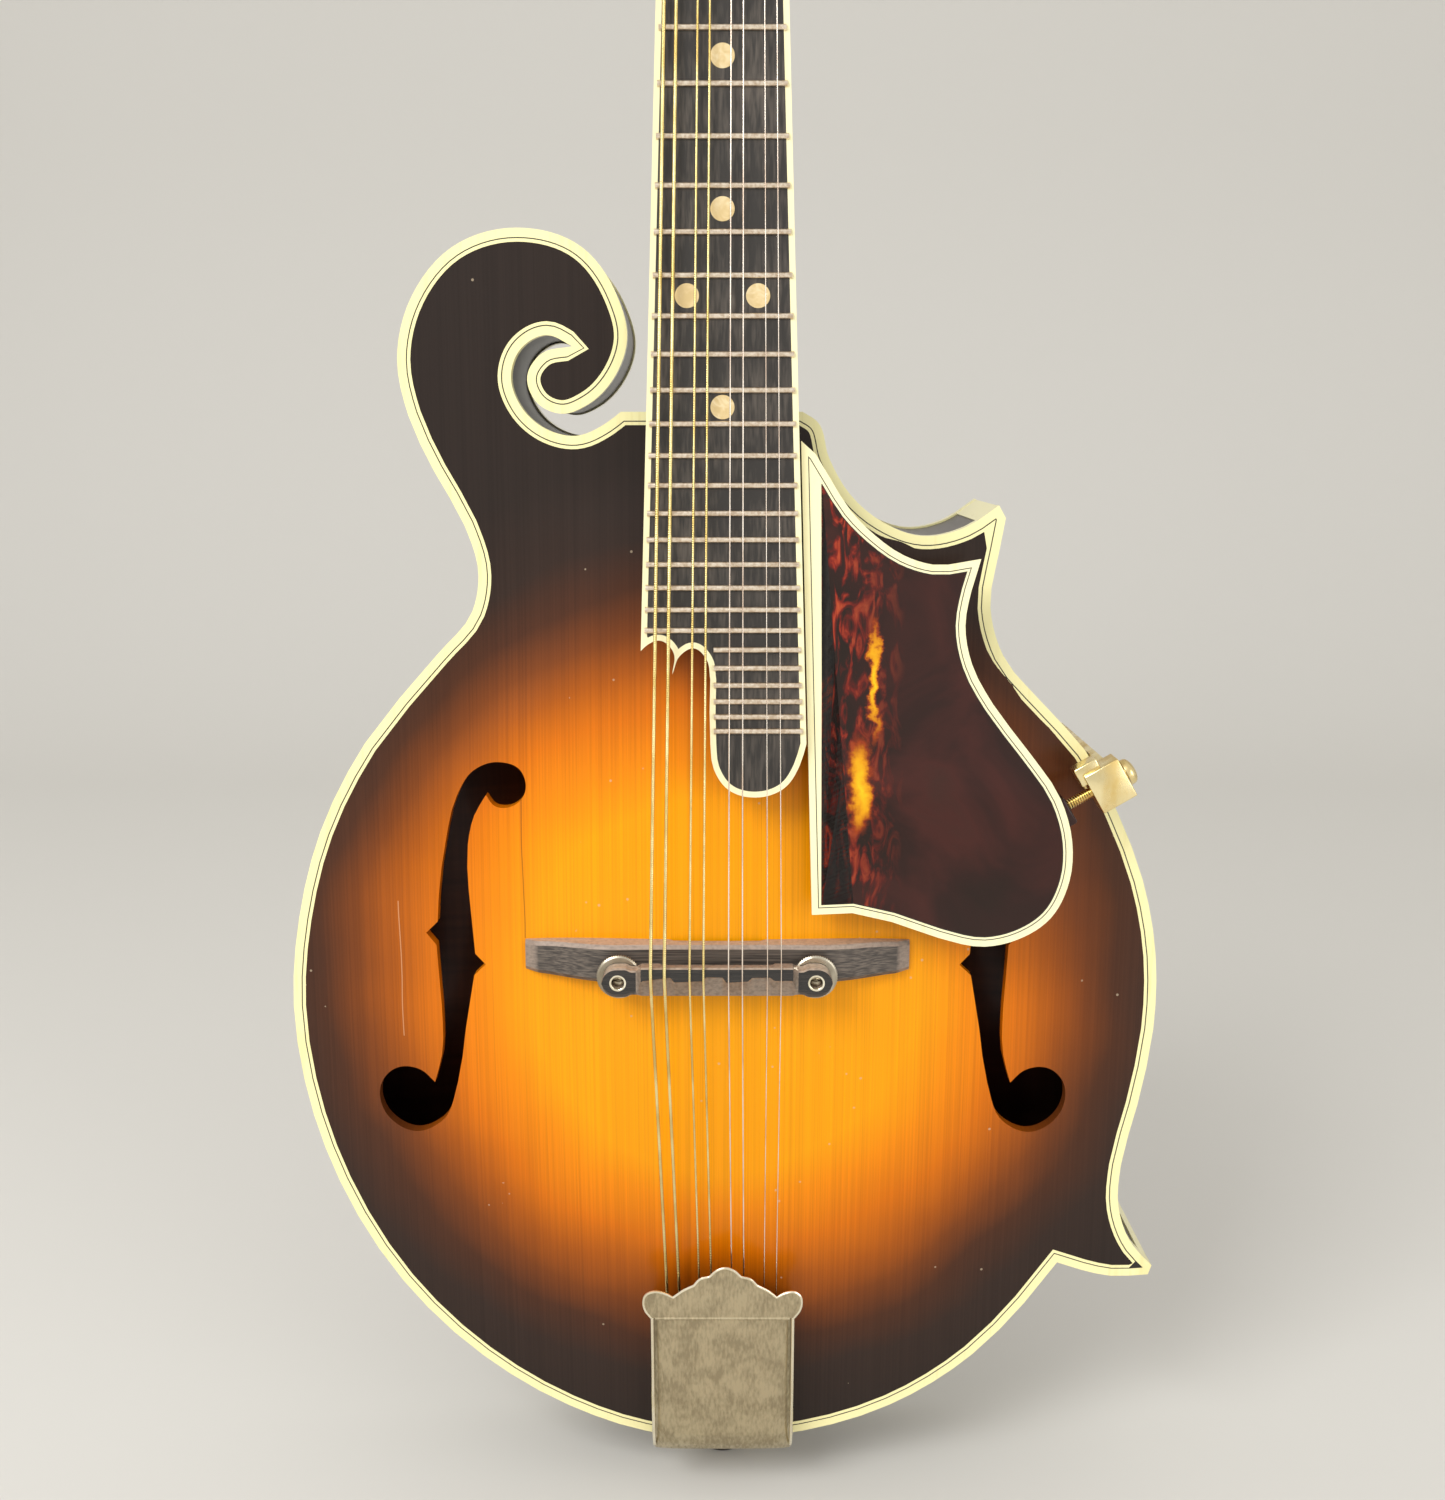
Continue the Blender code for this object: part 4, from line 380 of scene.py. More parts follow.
# %% Material: sunburst lacquer on spruce
def sunburst(name, slot, stops, centre_z, grain_mm, flame=0.0, cracks=()):
    """Lacquered wood whose stain darkens with the distance from a point on the centre line.

    A crack is its place across, its lower and upper end, and its colour.
    """
    made, tree, shader = new_material(name, slot, Roughness=0.30, Specular_IOR_Level=0.18,
                                      Coat_Weight=0.08, Coat_Roughness=0.09)
    place = add(tree, "TexCoord").outputs["Object"]
    flat = add(tree, "Mapping", {"Vector": place, "Location": (0, 0, -centre_z),
                                 "Scale": (1, 0, 1)}).outputs["Vector"]
    drift = add(tree, "TexNoise", {"Vector": place, "Scale": 22.0, "Detail": 2.0})
    radius = add(tree, "VectorMath", {0: flat}, operation="LENGTH").outputs["Value"]
    wander = add(tree, "MapRange", {"Value": drift.outputs["Fac"], "To Min": -0.007,
                                    "To Max": 0.007}).outputs["Result"]
    reach = add(tree, "Math", {0: radius, 1: wander}, operation="ADD").outputs["Value"]
    share = add(tree, "MapRange", {"Value": reach, "From Max": 0.150}).outputs["Result"]
    stain = add(tree, "ValToRGB", {"Fac": share}, stops=stops).outputs["Color"]
    lines = add(tree, "Mapping", {"Vector": place, "Scale": (1 / (grain_mm * MM), 20, 5)})
    grain = add(tree, "TexNoise", {"Vector": lines.outputs["Vector"], "Scale": 1.0, "Detail": 3.0,
                                   "Roughness": 0.6}).outputs["Fac"]
    streak = add(tree, "MapRange", {"Value": grain, "From Min": 0.35, "From Max": 0.68,
                                    "To Min": 1.05, "To Max": 0.84}).outputs["Result"]
    coloured = add(tree, "VectorMath", {0: stain, 1: streak}, operation="MULTIPLY").outputs["Vector"]
    if flame:
        bands = add(tree, "Mapping", {"Vector": place, "Scale": (8, 8, 150)})
        curl = add(tree, "TexNoise", {"Vector": bands.outputs["Vector"], "Scale": 1.0,
                                      "Detail": 2.0, "Distortion": 0.6}).outputs["Fac"]
        shine = add(tree, "MapRange", {"Value": curl, "From Min": 0.35, "From Max": 0.65,
                                       "To Min": 1 - flame, "To Max": 1 + flame}).outputs["Result"]
        coloured = add(tree, "VectorMath", {0: coloured, 1: shine}, operation="MULTIPLY").outputs["Vector"]
    nicks = add(tree, "TexVoronoi", {"Vector": place, "Scale": 190.0, "Randomness": 1.0})
    rare = add(tree, "TexNoise", {"Vector": place, "Scale": 45.0, "Detail": 1.0}).outputs["Fac"]
    near = add(tree, "Math", {0: nicks.outputs["Distance"], 1: 0.075}, operation="LESS_THAN")
    some = add(tree, "Math", {0: rare, 1: 0.60}, operation="GREATER_THAN").outputs["Value"]
    mark = add(tree, "Math", {0: near.outputs["Value"], 1: some}, operation="MULTIPLY").outputs["Value"]
    faint = add(tree, "Math", {0: mark, 1: 0.45}, operation="MULTIPLY").outputs["Value"]
    worn = add(tree, "Mix", {"Factor": faint, 6: coloured, 7: linear("#c9b69a")},
               data_type="RGBA").outputs[2]
    for x, low, high, shade in cracks:
        axes = add(tree, "SeparateXYZ", {"Vector": place}).outputs
        lean = add(tree, "MapRange", {"Value": drift.outputs["Fac"], "To Min": x - 0.001,
                                      "To Max": x + 0.001}).outputs["Result"]
        beside = add(tree, "Math", {0: axes["X"], 1: lean, 2: 0.00016},
                     operation="COMPARE").outputs["Value"]
        along = add(tree, "Math", {0: axes["Z"], 1: (low + high) / 2, 2: (high - low) / 2},
                    operation="COMPARE").outputs["Value"]
        split = add(tree, "Math", {0: beside, 1: along}, operation="MULTIPLY").outputs["Value"]
        split = add(tree, "Math", {0: split, 1: 0.6}, operation="MULTIPLY").outputs["Value"]
        worn = add(tree, "Mix", {"Factor": split, 6: worn, 7: linear(shade)}, data_type="RGBA").outputs[2]
    tree.links.new(worn, shader.inputs["Base Color"])
    bump = add(tree, "Bump", {"Height": grain, "Strength": 0.10, "Distance": 0.00006})
    tree.links.new(bump.outputs["Normal"], shader.inputs["Normal"])
    return made


TOP_STOPS = [(0.0, "#f7a404"), (0.38, "#f39b00"), (0.46, "#e98601"), (0.56, "#d06c02"),
             (0.64, "#a5530b"), (0.71, "#773c13"), (0.78, "#4b2a19"), (0.87, "#33251f"),
             (1.0, "#2b221e")]
spruce_top = sunburst("nitro_sunburst_on_spruce", "spruce_sunburst", TOP_STOPS,
                      BRIDGE_Z - 0.011, 0.55,
                      cracks=((-0.057, BRIDGE_Z + 0.003, BRIDGE_Z + 0.045, "#5c3312"),
                              (-0.094, BRIDGE_Z - 0.029, BRIDGE_Z + 0.012, "#cf9c72")))
print("sunburst:", len(TOP_STOPS), "shades of stain")


# %% [markdown]
# The arch is carved, so no simple curve gives it. The piece starts as a two millimetre grid.
# Rays shot at the frame's plate read its height at each crossing, a few averaging passes take
# the facets away, and the outline and the sound holes are then sawn through the thick sheet.

# %% Carve a plate
BINDING = 0.0024
INLAY_LINE = 0.0003
GRID, MARGIN = 0.0021, 0.004
SAW_REACH = 0.06


def read_heights(node, xs, zs, direction):
    """Height of a frame plate's outer face over the rim, at each crossing of a grid."""
    merged = bmesh.new()
    merged.from_mesh(frame["nodes"][node].data)
    tree = BVHTree.FromBMesh(merged)
    merged.free()
    rim = RIM_Y if direction > 0 else BACK_RIM_Y
    heights = np.full((len(xs), len(zs)), np.nan)
    for i, x in enumerate(xs):
        for j, z in enumerate(zs):
            hit = tree.ray_cast(Vector((x, -0.2 * direction, z)), Vector((0, direction, 0)))[0]
            if hit is not None and (rim - hit.y) * direction > -0.001:
                heights[i, j] = max(0.0, (rim - hit.y) * direction)
    return heights


def neighbours(field):
    """Mean of the four crossings around each crossing of a grid."""
    total = np.roll(field, 1, 0) + np.roll(field, -1, 0) + np.roll(field, 1, 1)
    return (total + np.roll(field, -1, 1)) / 4


def carve(name, node, direction, holes):
    """A thick arched sheet in the shape of a frame plate, sawn to the body's outline."""
    low = Vector((min(p.x for p in body_path), min(p.y for p in body_path)))
    high = Vector((max(p.x for p in body_path), max(p.y for p in body_path)))
    low, high = low - Vector((MARGIN, MARGIN)), high + Vector((MARGIN, MARGIN))
    columns, rows = (ceil((b - a) / GRID) for a, b in zip(low, high))
    xs = [low.x + (high.x - low.x) * k / columns for k in range(columns + 1)]
    zs = [low.y + (high.y - low.y) * k / rows for k in range(rows + 1)]
    known = read_heights(node, xs, zs, direction)
    missing = np.isnan(known)
    field = np.where(missing, 0.0, known)
    inside = inside_outline(xs, zs)
    for _ in range(160):
        field = np.where(missing & inside, neighbours(field), field)
    for _ in range(10):
        field = np.where(inside, field * 0.4 + neighbours(field) * 0.6, 0.0)
    bm = bmesh.new()
    bmesh.ops.create_grid(bm, x_segments=columns, y_segments=rows, size=0.5)
    rim = RIM_Y if direction > 0 else BACK_RIM_Y
    for vert in bm.verts:
        i = round((vert.co.x + 0.5) * columns)
        j = round((vert.co.y + 0.5) * rows)
        vert.co = (xs[i], rim - direction * field[i, j], zs[j])
    grown = bmesh.ops.extrude_face_region(bm, geom=bm.faces[:])
    inner = [item for item in grown["geom"] if isinstance(item, bmesh.types.BMVert)]
    bmesh.ops.translate(bm, verts=inner, vec=(0, direction * PLATE, 0))
    bmesh.ops.recalc_face_normals(bm, faces=bm.faces[:])
    plate = add_object(name, bm)
    cut(plate, "INTERSECT", slab([inset(body_path, BINDING + INLAY_LINE)], -SAW_REACH, SAW_REACH))
    for hole in holes:
        cut(plate, "DIFFERENCE", slab([hole], -SAW_REACH, 0.0))
    print(name, "arch", f"{np.nanmax(field) * 1000:.1f} mm,", len(plate.data.polygons), "faces")
    return plate, (xs, zs, field)


def inside_outline(xs, zs):
    """Which grid crossings lie inside the body's outline."""
    starts = np.array([tuple(p) for p in body_path])
    ends = np.roll(starts, -1, axis=0)
    rise = np.where(ends[:, 1] == starts[:, 1], 1e-12, ends[:, 1] - starts[:, 1])
    result = np.zeros((len(xs), len(zs)), bool)
    for j, z in enumerate(zs):
        spans = (starts[:, 1] > z) != (ends[:, 1] > z)
        crossings = (starts[:, 0] + (z - starts[:, 1]) * (ends[:, 0] - starts[:, 0]) / rise)[spans]
        result[:, j] = (np.array(xs)[:, None] < crossings[None, :]).sum(axis=1) % 2 == 1
    return result


bass_hole = [Vector((p.x * MM, BRIDGE_Z + p.y * MM)) for p in smooth_path(F_HOLE)]
treble_hole = [Vector((-p.x, p.y)) for p in bass_hole][::-1]
soundboard, TOP_FIELD = carve("soundboard", "top_plate", 1, [bass_hole, treble_hole])
show(soundboard, spruce_top, stands_for=["top_plate"], sharp=40)

# %% [markdown]
# The edge is bound with ivoroid, a cream celluloid with fine parallel grain, bent in strips
# while warm. Inside it a black line and a thinner cream strip are let into the top. Age and
# amber lacquer make the cream yellower than it was.

# %% Materials: aged ivoroid and black fibre
def mottled(name, slot, colour, per_metre, stops, detail=3.0, distortion=0.0, **constants):
    """A material whose colour wanders between stops, in so many ripples to the metre."""
    made, tree, shader = new_material(name, slot, colour, **constants)
    place = add(tree, "TexCoord").outputs["Object"]
    ripples = add(tree, "TexNoise", {"Vector": place, "Scale": per_metre, "Detail": detail,
                                     "Distortion": distortion})
    tone = add(tree, "ValToRGB", {"Fac": ripples.outputs["Fac"]}, stops=stops)
    tree.links.new(tone.outputs["Color"], shader.inputs["Base Color"])
    return made


def ivoroid(name, colour, shade):
    """Cream celluloid with fine grain lines along the strip."""
    made, tree, shader = new_material(name, "ivoroid", colour, Roughness=0.28, IOR=1.50,
                                      Coat_Weight=0.3, Coat_Roughness=0.12)
    place = add(tree, "TexCoord").outputs["Object"]
    lines = add(tree, "Mapping", {"Vector": place, "Scale": (700, 120, 45)})
    grain = add(tree, "TexNoise", {"Vector": lines.outputs["Vector"], "Scale": 1.0, "Detail": 2.0})
    patches = add(tree, "TexNoise", {"Vector": place, "Scale": 38.0, "Detail": 3.0})
    mixed = add(tree, "Math", {0: grain.outputs["Fac"], 1: patches.outputs["Fac"]}, operation="MULTIPLY")
    tone = add(tree, "ValToRGB", {"Fac": mixed.outputs["Value"]},
               stops=[(0.06, shade), (0.20, colour)])
    tree.links.new(tone.outputs["Color"], shader.inputs["Base Color"])
    return made


aged_ivoroid = ivoroid("aged_ivoroid_binding", "#f6eeb2", "#eadf9c")
pale_ivoroid = ivoroid("pale_ivoroid_binding", "#f5eec0", "#ebe0ac")
black_fibre = mottled("black_dyed_fibre", "ivoroid", "#17130f", 900.0,
                      [(0.35, "#100d0a"), (0.65, "#241e18")], Roughness=0.5)

# %% [markdown]
# Each strip is the space between two insets of one outline, made thick. The binding covers the
# plate's whole edge, and the inlaid lines stand a hair above the lacquer, where scraping left
# them.

# %% Bind the body
HAIR = 0.00006
INNER_STRIP, INNER_STRIP_DEEP = 0.0009, 0.001
edge_1 = inset(body_path, BINDING)
edge_2 = inset(body_path, BINDING + INLAY_LINE)
edge_3 = inset(body_path, BINDING + INLAY_LINE + INNER_STRIP)
for name, node, low, high in (("top_edge_binding", "top_binding", RIM_Y, RIM_Y + PLATE),
                              ("back_edge_binding", "back_binding", BACK_RIM_Y - PLATE, BACK_RIM_Y)):
    strip = add_object(name, slab([body_path, edge_1], low, high))
    show(strip, aged_ivoroid, stands_for=[node])
lines = (("top_black_line", edge_1, edge_2, RIM_Y - HAIR, RIM_Y + PLATE, black_fibre),
         ("top_inner_line", edge_2, edge_3, RIM_Y - HAIR, RIM_Y + INNER_STRIP_DEEP, aged_ivoroid),
         ("back_black_line", edge_1, edge_2, BACK_RIM_Y - PLATE, BACK_RIM_Y + HAIR, black_fibre))
for name, outer, inner, low, high, finish in lines:
    show(add_object(name, slab([outer, inner], low, high)), finish)
edge_length = sum((a - b).length for a, b in zip(body_path, body_path[1:]))
print(f"bound in ivoroid: {edge_length:.2f} m of edge")

# %% [markdown]
# The sides are maple, bent hot over an iron, and the back is carved from two halves of the
# same wood. Both are stained dark brown under gloss lacquer. Curled maple shows bands that
# cross the grain, brighter in the middle of the back.

# %% Sides and back
RIB_STEP, RIB = 0.0005, 0.0022
BACK_STOPS = [(0.0, "#b5651f"), (0.30, "#a2551b"), (0.50, "#7c3b18"), (0.64, "#4f2615"),
              (0.80, "#2f1b13"), (1.0, "#1f1613")]
maple_back = sunburst("nitro_sunburst_on_curled_maple", "maple_lacquer", BACK_STOPS,
                      BRIDGE_Z - 0.010, 1.6, flame=0.22)
SIDE_STOPS = [(0.0, "#3d211a"), (0.55, "#3d211a"), (0.80, "#33201a"), (1.0, "#2c1d18")]
maple_sides = sunburst("dark_nitro_on_curled_maple", "maple_lacquer", SIDE_STOPS, BRIDGE_Z, 1.6,
                       flame=0.16)
rib_outer = inset(body_path, RIB_STEP)
rib_inner = inset(body_path, RIB_STEP + RIB)
sides = add_object("bent_sides", slab([rib_outer, rib_inner], RIM_Y + PLATE, BACK_RIM_Y - PLATE))
show(sides, maple_sides, stands_for=["rib_bass", "rib_waist_treble", "rib_lower_treble",
                                     "rib_upper_treble"])
back = carve("carved_back", "back_plate", -1, [])[0]
show(back, maple_back, stands_for=["back_plate"], sharp=40)

# %% [markdown]
# Ebony is nearly black, but on a played board it dries to a brown grey with pale dusty pores
# along the grain. That comes from a noise stretched along the strings.

# %% Material: played ebony
board_ebony, tree, shader = new_material("played_ebony_board", "ebony", "#2b2723", Roughness=0.55,
                                         IOR=1.45)
place = add(tree, "TexCoord").outputs["Object"]
lines = add(tree, "Mapping", {"Vector": place, "Scale": (1100.0, 1100.0, 90.0)})
pores = add(tree, "TexNoise", {"Vector": lines.outputs["Vector"], "Scale": 1.0, "Detail": 2.0})
broad = add(tree, "TexNoise", {"Vector": place, "Scale": 60.0, "Detail": 3.0})
total = add(tree, "Math", {0: pores.outputs["Fac"], 1: broad.outputs["Fac"]}, operation="MULTIPLY")
tone = add(tree, "ValToRGB", {"Fac": total.outputs["Value"]}, stops=[(0.20, "#2b2723"), (0.48, "#5a524a")])
tree.links.new(tone.outputs["Color"], shader.inputs["Base Color"])
bump = add(tree, "Bump", {"Height": pores.outputs["Fac"], "Strength": 0.25, "Distance": 0.0001})
tree.links.new(bump.outputs["Normal"], shader.inputs["Normal"])
print("ebony pores about a millimetre wide and eleven long")

# %% [markdown]
# The fingerboard is a flat tapered board. Its treble side runs on over the top as a rounded
# tongue, and the bass side ends in two scoops. The board, the binding round it, the fret wires
# and the pearl dots are separate here because each is a separate piece on the bench.

# %% Fingerboard and binding
NECK_BINDING, SCRAPED = 0.0016, 0.00003
BOARD_END_OUTLINE = (
    (21, 56.5, False), (17, 50.5, False), (9, 47.8, False), (1.5, 50, False),
    (-2.5, 56, False), (-3.3, 62.5, False), (-3.3, 80, True), (-4.3, 85.5, False),
    (-7.8, 88.5, False), (-11.5, 86.5, False), (-13.6, 81.5, True), (-13.3, 87.5, False),
    (-17, 90.6, False), (-20.5, 89.3, False),
)
TREBLE_END, BASS_END = 62.5, 87.8
tongue = [(board_width(TREBLE_END * MM) / 2 / MM, TREBLE_END, True), *BOARD_END_OUTLINE,
          (-board_width(BASS_END * MM) / 2 / MM, BASS_END, True)]
tongue = [point * MM for point in smooth_path(tongue, closed=False)]
BOARD_TOP = SCALE_LENGTH - GAP
nut_half = board_width(BOARD_TOP) / 2
board_whole = [Vector((nut_half, BOARD_TOP)), *tongue, Vector((-nut_half, BOARD_TOP))]
board_inner = inset(board_whole, NECK_BINDING)
board_inner = [Vector((board_inner[0].x, BOARD_TOP)), *board_inner, Vector((board_inner[-1].x, BOARD_TOP))]
show(add_object("board_edge_binding", slab([board_whole + board_inner[::-1]], 0, BOARD, NECK)),
     pale_ivoroid, stands_for=["fingerboard_binding"])
show(add_object("ebony_fingerboard", slab([board_inner], SCRAPED, BOARD, NECK)), board_ebony,
     stands_for=["fingerboard"])
print(f"fingerboard {2 * nut_half * 1000:.1f} mm wide at the nut")

# %% [markdown]
# Fret wire is drawn nickel silver with a rounded crown. A cylinder squashed to the crown's
# height and half sunk in the board has the right section.

# %% Frets and dots
nickel_silver = mottled("worn_nickel_silver_fret", "aged_nickel", "#e2cdb6", 900.0,
                        [(0.35, "#d2bda4"), (0.62, "#f6e8d4")], Metallic=1.0, Roughness=0.28)
FRETS, FULL_FRETS = 29, 23
FRET, FRET_CROWN, FRET_END = 0.0017, 1.15, 0.0009
TONGUE_EDGE = -0.0033
frets = bmesh.new()
for number in range(1, FRETS + 1):
    along = fret_place(number)
    treble_end = board_width(along) / 2 - FRET_END
    bass_end = -treble_end if number <= FULL_FRETS else TONGUE_EDGE + FRET_END
    place_wire = (NECK @ Matrix.Translation(((treble_end + bass_end) / 2, 0, along))
                  @ Matrix.Diagonal((1, FRET_CROWN, 1, 1)) @ Matrix.Rotation(pi / 2, 4, "Y"))
    bmesh.ops.create_cone(frets, cap_ends=True, segments=14, radius1=FRET / 2, radius2=FRET / 2,
                          depth=treble_end - bass_end, matrix=place_wire)
show(add_object("fret_wires", frets), nickel_silver)

pearl = mottled("aged_pearl_dot", "pearl_plastic", "#dcc79a", 260.0,
                [(0.35, "#d3b983"), (0.52, "#dcc492"), (0.65, "#e3cfa2")], detail=2.0, distortion=1.5,
                Roughness=0.22, Coat_Weight=0.3)
DOT, DOT_PROUD, DOT_THICK = 0.0032, 0.00001, 0.0001
dots = bmesh.new()
for number, shifts in ((3, (0,)), (5, (0,)), (7, (0,)), (10, (0,)), (12, (-0.0094, 0.0094)), (15, (0,))):
    along = (fret_place(number) + fret_place(number - 1)) / 2
    for shift in shifts:
        turned = Matrix.Translation((shift, -DOT_PROUD, along)) @ Matrix.Rotation(pi / 2, 4, "X")
        bmesh.ops.create_cone(dots, cap_ends=True, segments=40, radius1=DOT, radius2=DOT,
                              depth=DOT_THICK, matrix=turned)
bmesh.ops.transform(dots, matrix=NECK, verts=dots.verts[:])
show(add_object("pearl_dots", dots), pearl)
print(FRETS, "frets from", round(fret_place(1), 4), "to", round(fret_place(FRETS), 4), "m from the bridge")

# %% [markdown]
# The pickguard is celluloid tortoise: dark brown red sheet with clouds of deeper colour, red
# wisps along the board and two amber flames. Its edge is laminated: cream, black, white, black.
# The figure is drawn with noise, and each flame is a narrow ragged oval at its own place.

# %% Material: tortoise celluloid
tortoise, tree, shader = new_material("tortoise_celluloid", "tortoise", "#2c1512", Roughness=0.24,
                                      Specular_IOR_Level=0.2, Coat_Weight=0.15, Coat_Roughness=0.05)
place = add(tree, "TexCoord").outputs["Object"]
flat = add(tree, "Mapping", {"Vector": place, "Scale": (1, 0, 1)}).outputs["Vector"]
clouds = add(tree, "TexNoise", {"Vector": flat, "Scale": 24.0, "Detail": 4.0, "Distortion": 0.8})
body_tone = add(tree, "ValToRGB", {"Fac": clouds.outputs["Fac"]},
                stops=[(0.34, "#241914"), (0.48, "#2d1a16"), (0.60, "#40201b"), (0.74, "#35221c")])
wisps = add(tree, "Mapping", {"Vector": flat, "Scale": (210, 1, 75)})
threads = add(tree, "TexNoise", {"Vector": wisps.outputs["Vector"], "Scale": 1.0, "Detail": 5.0,
                                 "Distortion": 2.2}).outputs["Fac"]
red = add(tree, "ValToRGB", {"Fac": threads},
          stops=[(0.42, "#4a1410"), (0.56, "#8e2116"), (0.70, "#c2512c")])
across = add(tree, "SeparateXYZ", {"Vector": place})
edge_side = add(tree, "MapRange", {"Value": across.outputs["X"], "From Min": 0.026, "From Max": 0.050,
                                   "To Min": 1.0, "To Max": 0.0}).outputs["Result"]
clear = add(tree, "MapRange", {"Value": threads, "From Min": 0.46, "From Max": 0.60}).outputs["Result"]
red_share = add(tree, "Math", {0: edge_side, 1: clear}, operation="MULTIPLY").outputs["Value"]
first = add(tree, "Mix", {"Factor": red_share, 6: body_tone.outputs["Color"],
                          7: red.outputs["Color"]}, data_type="RGBA")
ragged = add(tree, "TexNoise", {"Vector": flat, "Scale": 120.0, "Detail": 5.0, "Roughness": 0.6})
push = add(tree, "VectorMath", {0: ragged.outputs["Color"], 1: (0.5, 0.5, 0.5)}, operation="SUBTRACT")
push = add(tree, "VectorMath", {0: push.outputs["Vector"], "Scale": 0.012}, operation="SCALE")
moved = add(tree, "VectorMath", {0: flat, 1: push.outputs["Vector"]}, operation="ADD").outputs["Vector"]
# Each flame: its place across, its place above the bridge, half its width, half its length.
FLAMES = ((0.0414, 0.0785, 0.0021, 0.020), (0.0376, 0.0500, 0.0044, 0.016))
reaches = []
for x, above, wide, tall in FLAMES:
    stretched = add(tree, "Mapping", {"Vector": moved, "Scale": (1 / wide, 0, 1 / tall),
                                      "Location": (-x / wide, 0, -(BRIDGE_Z + above) / tall)})
    reaches.append(add(tree, "VectorMath", {0: stretched.outputs["Vector"]},
                       operation="LENGTH").outputs["Value"])
spread = add(tree, "Math", {0: reaches[0], 1: reaches[1]}, operation="MINIMUM").outputs["Value"]
glow = add(tree, "ValToRGB", {"Fac": spread}, stops=[(0.0, "#f0c21c"), (0.45, "#d9930f"), (0.75, "#9a3d10"),
                                                    (1.0, "#4a1a12")])
flame_share = add(tree, "MapRange", {"Value": spread, "From Min": 0.62, "From Max": 1.05,
                                     "To Min": 1.0, "To Max": 0.0}).outputs["Result"]
second = add(tree, "Mix", {"Factor": flame_share, 6: first.outputs[2], 7: glow.outputs["Color"]},
             data_type="RGBA")
tree.links.new(second.outputs[2], shader.inputs["Base Color"])

# %% Pickguard with its laminated edge
GUARD_OUTLINE = (
    (25, 140.5, False), (29, 134, False), (34.5, 125.5, False), (41, 119, False),
    (49, 113.5, False), (57, 111, False), (70, 112.5, True), (67.5, 104, False),
    (66, 94.5, False), (68, 84, False), (74, 73, False), (84, 60, False),
    (93, 47, False), (96.5, 35, False), (96, 24, False), (91, 13.5, False),
    (82, 7.5, False), (73, 5.5, False), (60, 8, False), (47, 12.5, False),
    (36, 15, False),
)
GUARD_FACE, GUARD, GUARD_GAP = 0.003, 0.0026, 0.0006
GUARD_FOOT, GUARD_TIP = 0.0145, 0.144
LAYERS_MM = (1.75, 2.0, 2.6, 2.85)
foot = Vector((board_width(GUARD_FOOT) / 2 + GUARD_GAP, GUARD_FOOT))
tip = Vector((board_width(0.143) / 2 + GUARD_GAP, GUARD_TIP))
guard_edge = [foot, tip] + [point * MM for point in smooth_path(GUARD_OUTLINE, closed=False)]
rings = [guard_edge] + [inset(guard_edge, depth * MM) for depth in LAYERS_MM]
layers = (("guard_cream_edge", pale_ivoroid), ("guard_black_line", black_fibre),
          ("guard_white_line", pale_ivoroid), ("guard_inner_black", black_fibre))
for (name, finish), outer, inner in zip(layers, rings, rings[1:]):
    show(add_object(name, slab([outer, inner], GUARD_FACE, GUARD_FACE + GUARD, NECK)), finish)
show(add_object("tortoise_guard", slab([rings[-1]], GUARD_FACE, GUARD_FACE + GUARD, NECK)), tortoise,
     stands_for=["pickguard"])
print("guard layers:", len(layers) + 1)
# %% [markdown]
# Hardware needs five more tools: a block with eased edges, a profile turned on a lathe, a
# round wire along a path, a loft through sections, and a way to gather pieces into one.

# %% Tools for solid parts
def finished(bm, matrix=None):
    """Close seams, point the faces outwards and put the piece in its place."""
    bmesh.ops.remove_doubles(bm, verts=bm.verts[:], dist=1e-6)
    bmesh.ops.recalc_face_normals(bm, faces=bm.faces[:])
    if matrix is not None:
        bmesh.ops.transform(bm, matrix=matrix, verts=bm.verts[:])
    return bm


def block(low, high, eased=0.0, matrix=None):
    """A box between two corners, its edges rounded by a small radius."""
    bm = bmesh.new()
    bmesh.ops.create_cube(bm, size=1.0)
    low, high = Vector(low), Vector(high)
    bmesh.ops.scale(bm, verts=bm.verts[:], vec=high - low)
    bmesh.ops.translate(bm, verts=bm.verts[:], vec=(low + high) / 2)
    if eased:
        bmesh.ops.bevel(bm, geom=bm.edges[:], offset=eased, segments=3, profile=0.5,
                        affect="EDGES", material=-1)
    return finished(bm, matrix)


def lathe(profile, steps=32, matrix=None):
    """Points of (radius, height) turned about the height."""
    bm = bmesh.new()
    verts = [bm.verts.new((radius, 0, height)) for radius, height in profile]
    edges = [bm.edges.new(pair) for pair in zip(verts, verts[1:])]
    bmesh.ops.spin(bm, geom=verts + edges, cent=(0, 0, 0), axis=(0, 0, 1), angle=2 * pi,
                   steps=steps, use_merge=True)
    return finished(bm, matrix)


def loft(rings, closed=False, matrix=None):
    """A solid through rings of equal count; closed joins the last ring to the first."""
    bm = bmesh.new()
    loops = [[bm.verts.new(point) for point in ring] for ring in rings]
    for first, second in zip(loops, loops[1:] + loops[:1] if closed else loops[1:]):
        for index in range(len(first)):
            bm.faces.new((first[index - 1], first[index], second[index], second[index - 1]))
    if not closed:
        bm.faces.new(loops[0])
        bm.faces.new(loops[-1])
    return finished(bm, matrix)


